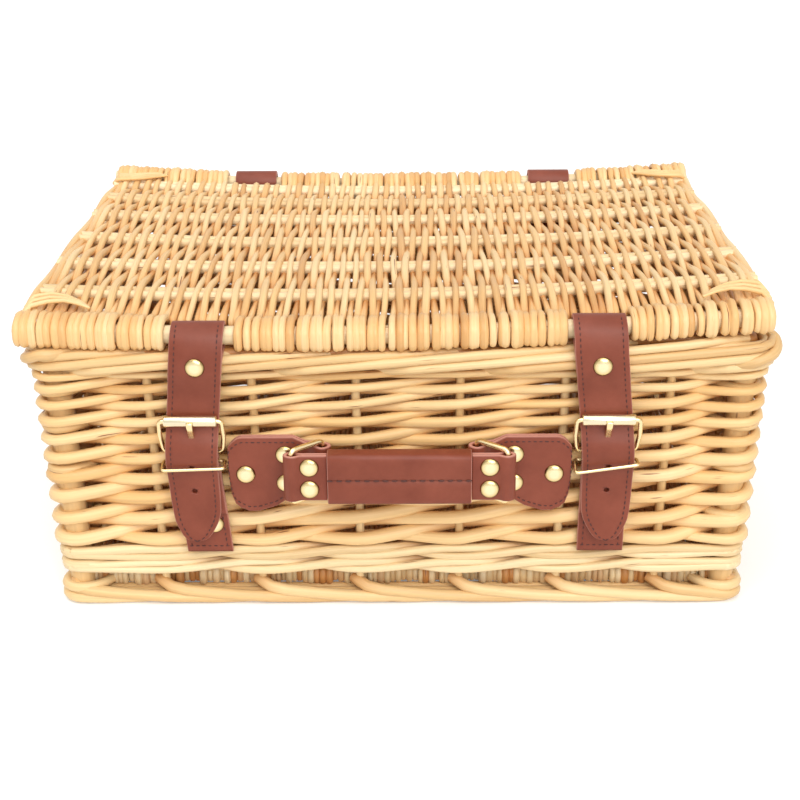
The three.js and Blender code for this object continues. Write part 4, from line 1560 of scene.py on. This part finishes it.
def make_buckle(place, side):
    x = side * STRAP_X
    corners = [
        at(x - FRAME_TOP, ROLLER_Y, ROLLER_Z),
        at(x + FRAME_TOP, ROLLER_Y, ROLLER_Z),
        at(x + FRAME_WIDEST, *FRAME_BELLY),
        at(x + FRAME_LOW, HEEL_Y, HEEL_Z),
        at(x - FRAME_LOW, HEEL_Y, HEEL_Z),
        at(x - FRAME_WIDEST, *FRAME_BELLY),
    ]
    wire = closed_wire(corners, FRAME_WIRE, FRAME_BEND * MM)
    loop = rods("buckle_wire_" + place, [wire], BRASS, sides=12)
    dress(loop, "buckle_" + place, "brass_aged", "buckle_frame_" + place)
    barrel = [at(x + spot, ROLLER_Y, ROLLER_Z) for spot, _ in ROLLER_SHAPE]
    barrel_radii = [radius for _, radius in ROLLER_SHAPE]
    roller = rods("roller_" + place, [line_of(barrel, barrel_radii, 0.5)], PALE_BRASS, sides=28)
    dress(roller, "roller_" + place, "brass_aged", "buckle_roller_" + place)
    turns = [0.4 + 0.55 * n for n in range(9)]
    eye = [(HEEL_Y + PRONG_EYE * math.sin(a), HEEL_Z + PRONG_EYE * math.cos(a)) for a in turns]
    line = [at(x, y, z) for y, z in smooth_line(eye + PRONG_TINE, 3)]
    prong = strip("prong_" + place, line, X_AXIS, [PRONG_HALF] * len(line), BRASS, PRONG_THICK)
    dress(prong, "prong_" + place, "brass_aged", "buckle_prong_" + place)


# %% Buckles and their keepers
KEEPER_LEAN = {"left": 0.6, "right": 2.5}
KEEPER_HALF = 17.2
KEEPER_WIRE = 0.95
KEEPER_BEND = 2.0
KEEPER_BACK = (-152.2, 95.5)
KEEPER_FRONT = (-160.8, 94.0)


def make_keeper(place, side):
    left, right = side * STRAP_X - KEEPER_HALF, side * STRAP_X + KEEPER_HALF
    lean = KEEPER_LEAN[place]
    front_y = KEEPER_FRONT[0] - 0.4 * lean
    corners = [at(left, *KEEPER_BACK), at(right, *KEEPER_BACK)]
    corners += [at(right, front_y, KEEPER_FRONT[1] + lean), at(left, front_y, KEEPER_FRONT[1] - lean)]
    wire = closed_wire(corners, KEEPER_WIRE, KEEPER_BEND * MM)
    keeper = rods("keeper_" + place, [wire], BRASS, sides=10)
    dress(keeper, "keeper_" + place, "brass_aged", "strap_keeper_" + place)


for place, side in SIDES:
    make_buckle(place, side)
    make_keeper(place, side)

# %% [markdown]
# The handle hangs on two wire rings. Each ring is held by a leaf-shaped tab, a doubled piece of
# leather folded round the ring and riveted to the wall in three places. A leaf is a strip that runs
# along the wall, with its width from a table, sagging where it is wide so that its top edge stays
# nearly straight.

# %% The leaf of a handle anchor
HANDLE_Z = 93.0
ANCHOR_X = 43.0
ANCHOR_Y = -154.9
SEAT = -HALF_Y - 0.3
LEAF = (
    (0.0, 13.0),
    (9.0, 14.0),
    (18.7, 18.6),
    (26.5, 21.2),
    (36.5, 22.8),
    (42.0, 22.8),
    (46.5, 21.6),
    (49.4, 19.2),
    (51.2, 15.6),
    (52.2, 11.0),
    (52.5, 7.0),
)
LEAF_TOP = 17.5
LEAF_END, LEAF_END_LENGTH, LEAF_END_DROP = 44.0, 8.5, 6.5
LEAF_RISES_FROM = 86.0
LEAF_TIPS = (95.5, 95.1, 94.2, 92.4, 89.5, 85.0, 79.5, 72.0, 63.0, 56.0)


def leaf_half(x):
    return table_value(LEAF, x - ANCHOR_X)


def leaf_sag(x):
    """How far the leaf's middle line sinks where it is wide; it rises again at its end."""
    drop = LEAF_END_DROP * (max(x - ANCHOR_X - LEAF_END, 0.0) / LEAF_END_LENGTH) ** 2
    sag = leaf_half(x) - LEAF_TOP + drop
    return sag if x > LEAF_RISES_FROM else max(sag, 0.0)


def anchor_line():
    """X and Y of the doubled leaf, from its outer end in front, round the ring, to the end behind."""
    front = SEAT - LEATHER * 1.5
    back = SEAT - LEATHER / 2
    round_ring = [
        (50.0, ANCHOR_Y + 0.5),
        (46.6, ANCHOR_Y - 2.4),
        (43.0, ANCHOR_Y - 3.9),
        (40.0, ANCHOR_Y - 2.4),
        (39.1, ANCHOR_Y),
        (40.0, ANCHOR_Y + 2.5),
        (43.0, ANCHOR_Y + 3.9),
        (48.0, back),
    ]
    return [(x, front) for x in LEAF_TIPS] + round_ring + [(x, back) for x in reversed(LEAF_TIPS)]


# %% Handle anchors
for place, side in SIDES:
    dense = smooth_line(anchor_line(), 4)
    line = [at(side * x, y, HANDLE_Z - leaf_sag(x)) for x, y in dense]
    halves = [leaf_half(x) for x, y in dense]
    leaf = strip("anchor_" + place, line, Z_AXIS, halves)
    dress(leaf, "basket", "leather_brown", "handle_anchor_" + place)
    last = next(i for i, (x, y) in enumerate(dense) if x < LEAF_TIPS[-1])
    lift = FACE_UP * (1 if strip_frames(line, Z_AXIS)[8][2].y < 0 else -1)
    seam = edge_lines(line, Z_AXIS, halves, lift, first=1, last=last)
    sew("anchor_stitch_" + place, [seam[0][::-1] + seam[1]], "basket")

# %% [markdown]
# The handle itself is a piece of leather wrapped over a stiff core: flat in front, round on top, with
# one stitched seam along its middle, where the upper edge laps over the lower one. A rounded box
# would lose that lap, so the grip is one outline of (y, z), drawn along its length.

# %% Handle grip
HANDLE_Y = -168.4
GRIP_HALF = 39.4
GRIP_CUT = 0.9
SEAM_HALF = GRIP_HALF - 1.5
SEAM_OUT = 5.75
SEAM_RISE = 0.2
GRIP_OUTLINE = (
    (4.6, 14.6), (3.0, 15.0), (-3.2, 15.0), (-5.0, 14.4), (-5.8, 13.0), (-6.0, 11.0),
    (-6.0, 6.0), (-6.05, 1.5), (-5.9, 0.6), (-5.2, 0.3), (-5.1, -0.3), (-5.5, -0.8),
    (-5.55, -5.0), (-5.5, -11.0), (-5.2, -13.4), (-4.4, -14.6), (-2.8, -15.0), (3.0, -15.0),
    (4.6, -14.6), (5.6, -13.4), (6.0, -11.0), (6.0, 11.0), (5.6, 13.4),
)
GRIP_HALF_SPOTS = ((GRIP_HALF, 0.97), (GRIP_HALF - 0.5, 1.0), (20.0, 1.0))
GRIP_SPOTS = (
    *[(-x, size) for x, size in GRIP_HALF_SPOTS],
    (0.0, 1.0),
    *reversed(GRIP_HALF_SPOTS),
)

rings = [[at(x, HANDLE_Y + y * s, HANDLE_Z + z * s) for y, z in GRIP_OUTLINE] for x, s in GRIP_SPOTS]
grip = skin("grip", rings, [0.0] * len(GRIP_OUTLINE), HIDE)
rims = grip.data.attributes["edge"].data
for i in range(len(GRIP_OUTLINE)):
    rims[i].value = GRIP_CUT
    rims[len(rims) - 1 - i].value = GRIP_CUT
dress(grip, "handle", "leather_brown", "handle_grip")
seam = [at(SEAM_HALF * (n / 10 - 1), HANDLE_Y - SEAM_OUT, HANDLE_Z + SEAM_RISE) for n in range(21)]
sew("grip_stitch", [seam], "handle", step=5.0, length=3.4, width=1.2)

# %% [markdown]
# The handle's ends are doubled tabs that hold the rings. A tab is fixed in the grip at one end and
# turns with its ring at the other. Here each tab is made where it stands and is not attached to a body.

# %% Handle ends and rings
RING_X = 59.2
RING_HALF = 15.6
RING_WIRE = 1.6
RING_BEND = 3.0
TAB_HALF = 13.5
TAB_FRONT = (
    (39.8, -LEATHER / 2),
    (42.2, -LEATHER / 2),
    (45.0, -LEATHER / 2),
    (50.0, -LEATHER / 2),
    (54.5, -LEATHER / 2 - 0.1),
    (57.4, -2.8),
    (59.6, -3.1),
    (62.0, -1.6),
)
TAB_LINE = (*TAB_FRONT, (62.5, 0.0), *[(x, -y) for x, y in reversed(TAB_FRONT)])


def handle_place(side, x):
    return at(side * x, HANDLE_Y, HANDLE_Z)


for place, side in SIDES:
    dense = smooth_line([(x, HANDLE_Y + y) for x, y in TAB_LINE], 4)
    line = [at(side * x, y, HANDLE_Z) for x, y in dense]
    tab = strip("handle_tab_leather_" + place, line, Z_AXIS, [TAB_HALF] * len(line))
    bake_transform(tab)
    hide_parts("handle_tab_" + place)
    inner, outer = at(side * ANCHOR_X, ANCHOR_Y, HANDLE_Z), handle_place(side, RING_X)
    up = Z_AXIS * RING_HALF * MM
    wire = closed_wire([inner - up, outer - up, outer + up, inner + up], RING_WIRE, RING_BEND * MM)
    ring = rods("ring_wire_" + place, [wire], BRASS, sides=12)
    dress(ring, "ring_" + place, "brass_aged", "handle_ring_" + place)

# %% [markdown]
# The leather hinges are plain loops: round the lid's back rod, down inside the rim, under it and up
# again outside. Each is one closed strip, so that no seam shows when the lid stands open.

# %% Hinge loops
HINGE_HALF = 14.5
HINGE_REACH = 7.5
HINGE_WAY = [
    (134.6, 170.0),
    (134.5, 158.0),
    (134.6, 148.6),
    (137.2, 145.0),
    (146.0, 144.5),
    (151.6, 145.2),
    (153.4, 149.0),
    (153.5, 158.0),
    (153.2, 166.0),
    (151.4, 172.4),
]


def hinge_line():
    """The loop as (y, z): half a turn over the rod, and the way round the rim back to its start."""
    top = LID_Z + lid_rise(HINGE_X, ROD_Y)
    turns = [n * math.pi / 8 for n in range(9)]
    over = [(ROD_Y + HINGE_REACH * math.cos(a), top + HINGE_REACH * math.sin(a)) for a in turns]
    return over + HINGE_WAY


for place, side in SIDES:
    points = hinge_line()
    dense = smooth_line(points + [points[0]], 4)[:-1]
    line = [at(side * HINGE_X, y, z) for y, z in dense]
    hinge = strip("hinge_" + place, line, X_AXIS, [HINGE_HALF] * len(line), closed=True)
    dress(hinge, "basket", "leather_brown", "hinge_loop_" + place)

# %% [markdown]
# The rivets are brass caps, nearly flat. Their colour is a painted reflection and shade: bright in
# the middle and dark at the rim. A third tree puts one flattened ball at each of a few points, so
# that every rivet of the hamper is the same, and marks how far each point of it lies from its
# middle, for the finish.

# %% Rivets
RIVET_RADIUS = 5.4
RIVET_RISE = 1.9


def rivet_tree():
    tree, given = new_tree("rivets_on_points", Radius="Float", Rise="Float", Finish="Material")
    cap = set_inputs(new_node(tree, "GeometryNodeMeshUVSphere"), Segments=28, Rings=16, Radius=1.0)
    size = new_node(tree, "ShaderNodeCombineXYZ")
    set_inputs(size, X=given["Radius"], Y=given["Radius"], Z=given["Rise"])
    position = new_node(tree, "GeometryNodeInputPosition").outputs["Position"]
    flat = vector_calc(tree, "MULTIPLY", position, (1.0, 1.0, 0.0))
    reach = new_node(tree, "ShaderNodeVectorMath", operation="LENGTH")
    feed(reach.inputs[0], flat)
    on_points = {"data_type": "FLOAT", "domain": "POINT"}
    ball = cap.outputs["Mesh"]
    edge = {"Name": "edge", "Value": reach.outputs["Value"]}
    ball = geometry_step(tree, "StoreNamedAttribute", ball, on_points, **edge)
    facing_front = (math.pi / 2, 0.0, 0.0)
    put = {"Instance": ball, "Rotation": facing_front, "Scale": size.outputs[0]}
    caps = geometry_step(tree, "InstanceOnPoints", given["Geometry"], **put)
    return end_tree(tree, caps, given["Finish"])


def cap_finish():
    material, tree, shader = start_material("brass_cap")
    # painted reflection and shade: pale in the middle, dark at the rim
    stops = [(0.4, (0.88, 0.77, 0.48)), (0.74, (0.78, 0.61, 0.30)), (0.94, (0.26, 0.16, 0.06))]
    set_inputs(shader, Base_Color=ramp(tree, attribute(tree, "edge"), stops), Roughness=0.2, Metallic=1.0)
    return material


RIVET_TREE = rivet_tree()
CAP = cap_finish()


def rivets(name, places, body, *nodes):
    mesh = bpy.data.meshes.new(name)
    mesh.from_pydata([at(*place) for place in places], [], [])
    obj = new_object(name, mesh)
    grow(obj, RIVET_TREE, Radius=RIVET_RADIUS * MM, Rise=RIVET_RISE * MM, Finish=CAP)
    dress(obj, body, "brass_aged", *nodes)
    print(name, "caps:", len(places))


# %% Where the rivets sit
ANCHOR_RIVETS = (("outer", 86.0, 0.0), ("upper", 63.7, 8.7), ("lower", 63.7, -8.7))
CHAPE_RIVET_Z = 55.6
CHAPE_RIVET_SHIFT = {-1: 4.8, 1: -3.0}
TAB_RIVET_X = 49.4
TAB_RIVET_RISE = 6.5
STRAP_RIVET_Y, STRAP_RIVET_Z = -157.1, 153.0

wall_rivets, wall_nodes = [], []
for place, side in SIDES:
    for row, x, rise in ANCHOR_RIVETS:
        wall_rivets.append((side * x, SEAT - 2 * LEATHER, HANDLE_Z - leaf_sag(x) + rise))
        wall_nodes.append("handle_anchor_rivet_%s_%s" % (row, place))
    chape_rivet_x = chape_x(side, CHAPE_RIVET_Z) + CHAPE_RIVET_SHIFT[side]
    wall_rivets.append((chape_rivet_x, SEAT - LEATHER, CHAPE_RIVET_Z))
    wall_nodes.append("buckle_strap_rivet_" + place)
    rises = (TAB_RIVET_RISE, -TAB_RIVET_RISE)
    pair = [(side * TAB_RIVET_X, HANDLE_Y - LEATHER, HANDLE_Z + rise) for rise in rises]
    pair_nodes = ["handle_rivet_%s_%s" % (row, place) for row in ("upper", "lower")]
    rivets("handle_rivets_" + place, pair, "handle_end_" + place, *pair_nodes)
    spot = (strap_x(place, side, STRAP_RIVET_Z + 1.0), STRAP_RIVET_Y, STRAP_RIVET_Z)
    rivets("strap_rivet_" + place, [spot], "strap_" + place, "lid_strap_rivet_" + place)
rivets("wall_rivets", wall_rivets, "basket", *wall_nodes)

# %% [markdown]
# The photograph looks at the hamper from the front, 23 degrees down, through a long lens. It stands
# on white with soft light from all round, a little stronger from the front and from above. A white
# world lights it; the camera sees that world at full strength, and the hamper gets less of it, so
# that the two wide suns can shape the weave.

# %% Light
WORLD_LIGHT = 0.42


def white_world():
    world = bpy.data.worlds.new("white")
    bpy.context.scene.world = world
    world.use_nodes = True
    tree = world.node_tree
    rays = new_node(tree, "ShaderNodeLightPath").outputs
    mirrored = calc(tree, "MAXIMUM", rays["Is Glossy Ray"], rays["Is Transmission Ray"])
    seen = calc(tree, "MAXIMUM", rays["Is Camera Ray"], mirrored)
    level = set_inputs(new_node(tree, "ShaderNodeMapRange"), Value=seen, To_Min=WORLD_LIGHT, To_Max=1.0)
    set_inputs(tree.nodes["Background"], Color=WHITE, Strength=level.outputs["Result"])


def sun(name, source, strength, spread):
    data = bpy.data.lights.new(name, "SUN")
    data.energy = strength
    data.angle = math.radians(spread)
    new_object(name, data).rotation_euler = Vector(source).to_track_quat("Z", "Y").to_euler()


white_world()
sun("key", (0.3, -1.0, 0.75), 2.1, 50.0)
sun("top", (-0.3, -0.25, 1.0), 1.3, 60.0)
print("lights:", len(bpy.data.lights), "world light:", WORLD_LIGHT)

# %% [markdown]
# The floor is pale, so that the hamper throws a faint shadow. It has a little light of its own for
# the camera alone, so that it ends in white.

# %% Floor
FLOOR_HALF = 4
FLOOR_GREY = (0.86, 0.86, 0.86)
FLOOR_GLOW = 0.22


def floor_finish():
    material, tree, shader = start_material("floor_white")
    rays = new_node(tree, "ShaderNodeLightPath").outputs
    seen = calc(tree, "MAXIMUM", rays["Is Camera Ray"], rays["Is Glossy Ray"])
    set_inputs(shader, Base_Color=FLOOR_GREY, Roughness=0.9)
    set_inputs(shader, Emission_Color=WHITE, Emission_Strength=calc(tree, "MULTIPLY", seen, FLOOR_GLOW))
    return material


floor_corners = [(FLOOR_HALF * x, FLOOR_HALF * y, 0) for x, y in ((-1, -1), (1, -1), (1, 1), (-1, 1))]
floor_mesh = bpy.data.meshes.new("floor")
floor_mesh.from_pydata(floor_corners, [], [(0, 1, 2, 3)])
floor_mesh.materials.append(floor_finish())
new_object("floor", floor_mesh)
print("floor half width:", FLOOR_HALF, "m")

# %% [markdown]
# The camera's place, pitch and focal length come from the photograph: they are fitted so that the
# corners of the lid and the foot fall where the photograph has them. It is turned by a hair to the
# side, and rolled by another.

# %% Camera
FOCAL_PIXELS = 1510.7
IMAGE_PIXELS = 800.0
PITCH, YAW, ROLL = math.radians(23.0), 0.011, -0.008
EYE = at(8.79, -914.36, 455.28)

turn = Matrix.Rotation(YAW, 3, "Z")
forward = turn @ Vector((0, math.cos(PITCH), -math.sin(PITCH)))
right = turn @ X_AXIS
up = right.cross(forward)
rolled_right = right * math.cos(ROLL) + up * math.sin(ROLL)
rolled_up = up * math.cos(ROLL) - right * math.sin(ROLL)
camera_data = bpy.data.cameras.new("camera")
camera_data.sensor_width = 36.0
camera_data.lens = FOCAL_PIXELS / IMAGE_PIXELS * camera_data.sensor_width
camera = new_object("camera", camera_data)
axes = Matrix((rolled_right, rolled_up, -forward)).transposed()
camera.matrix_world = Matrix.Translation(EYE) @ axes.to_4x4()
bpy.context.scene.camera = camera
bpy.context.scene.view_settings.view_transform = "Standard"
print("lens", round(camera_data.lens, 1), "mm")
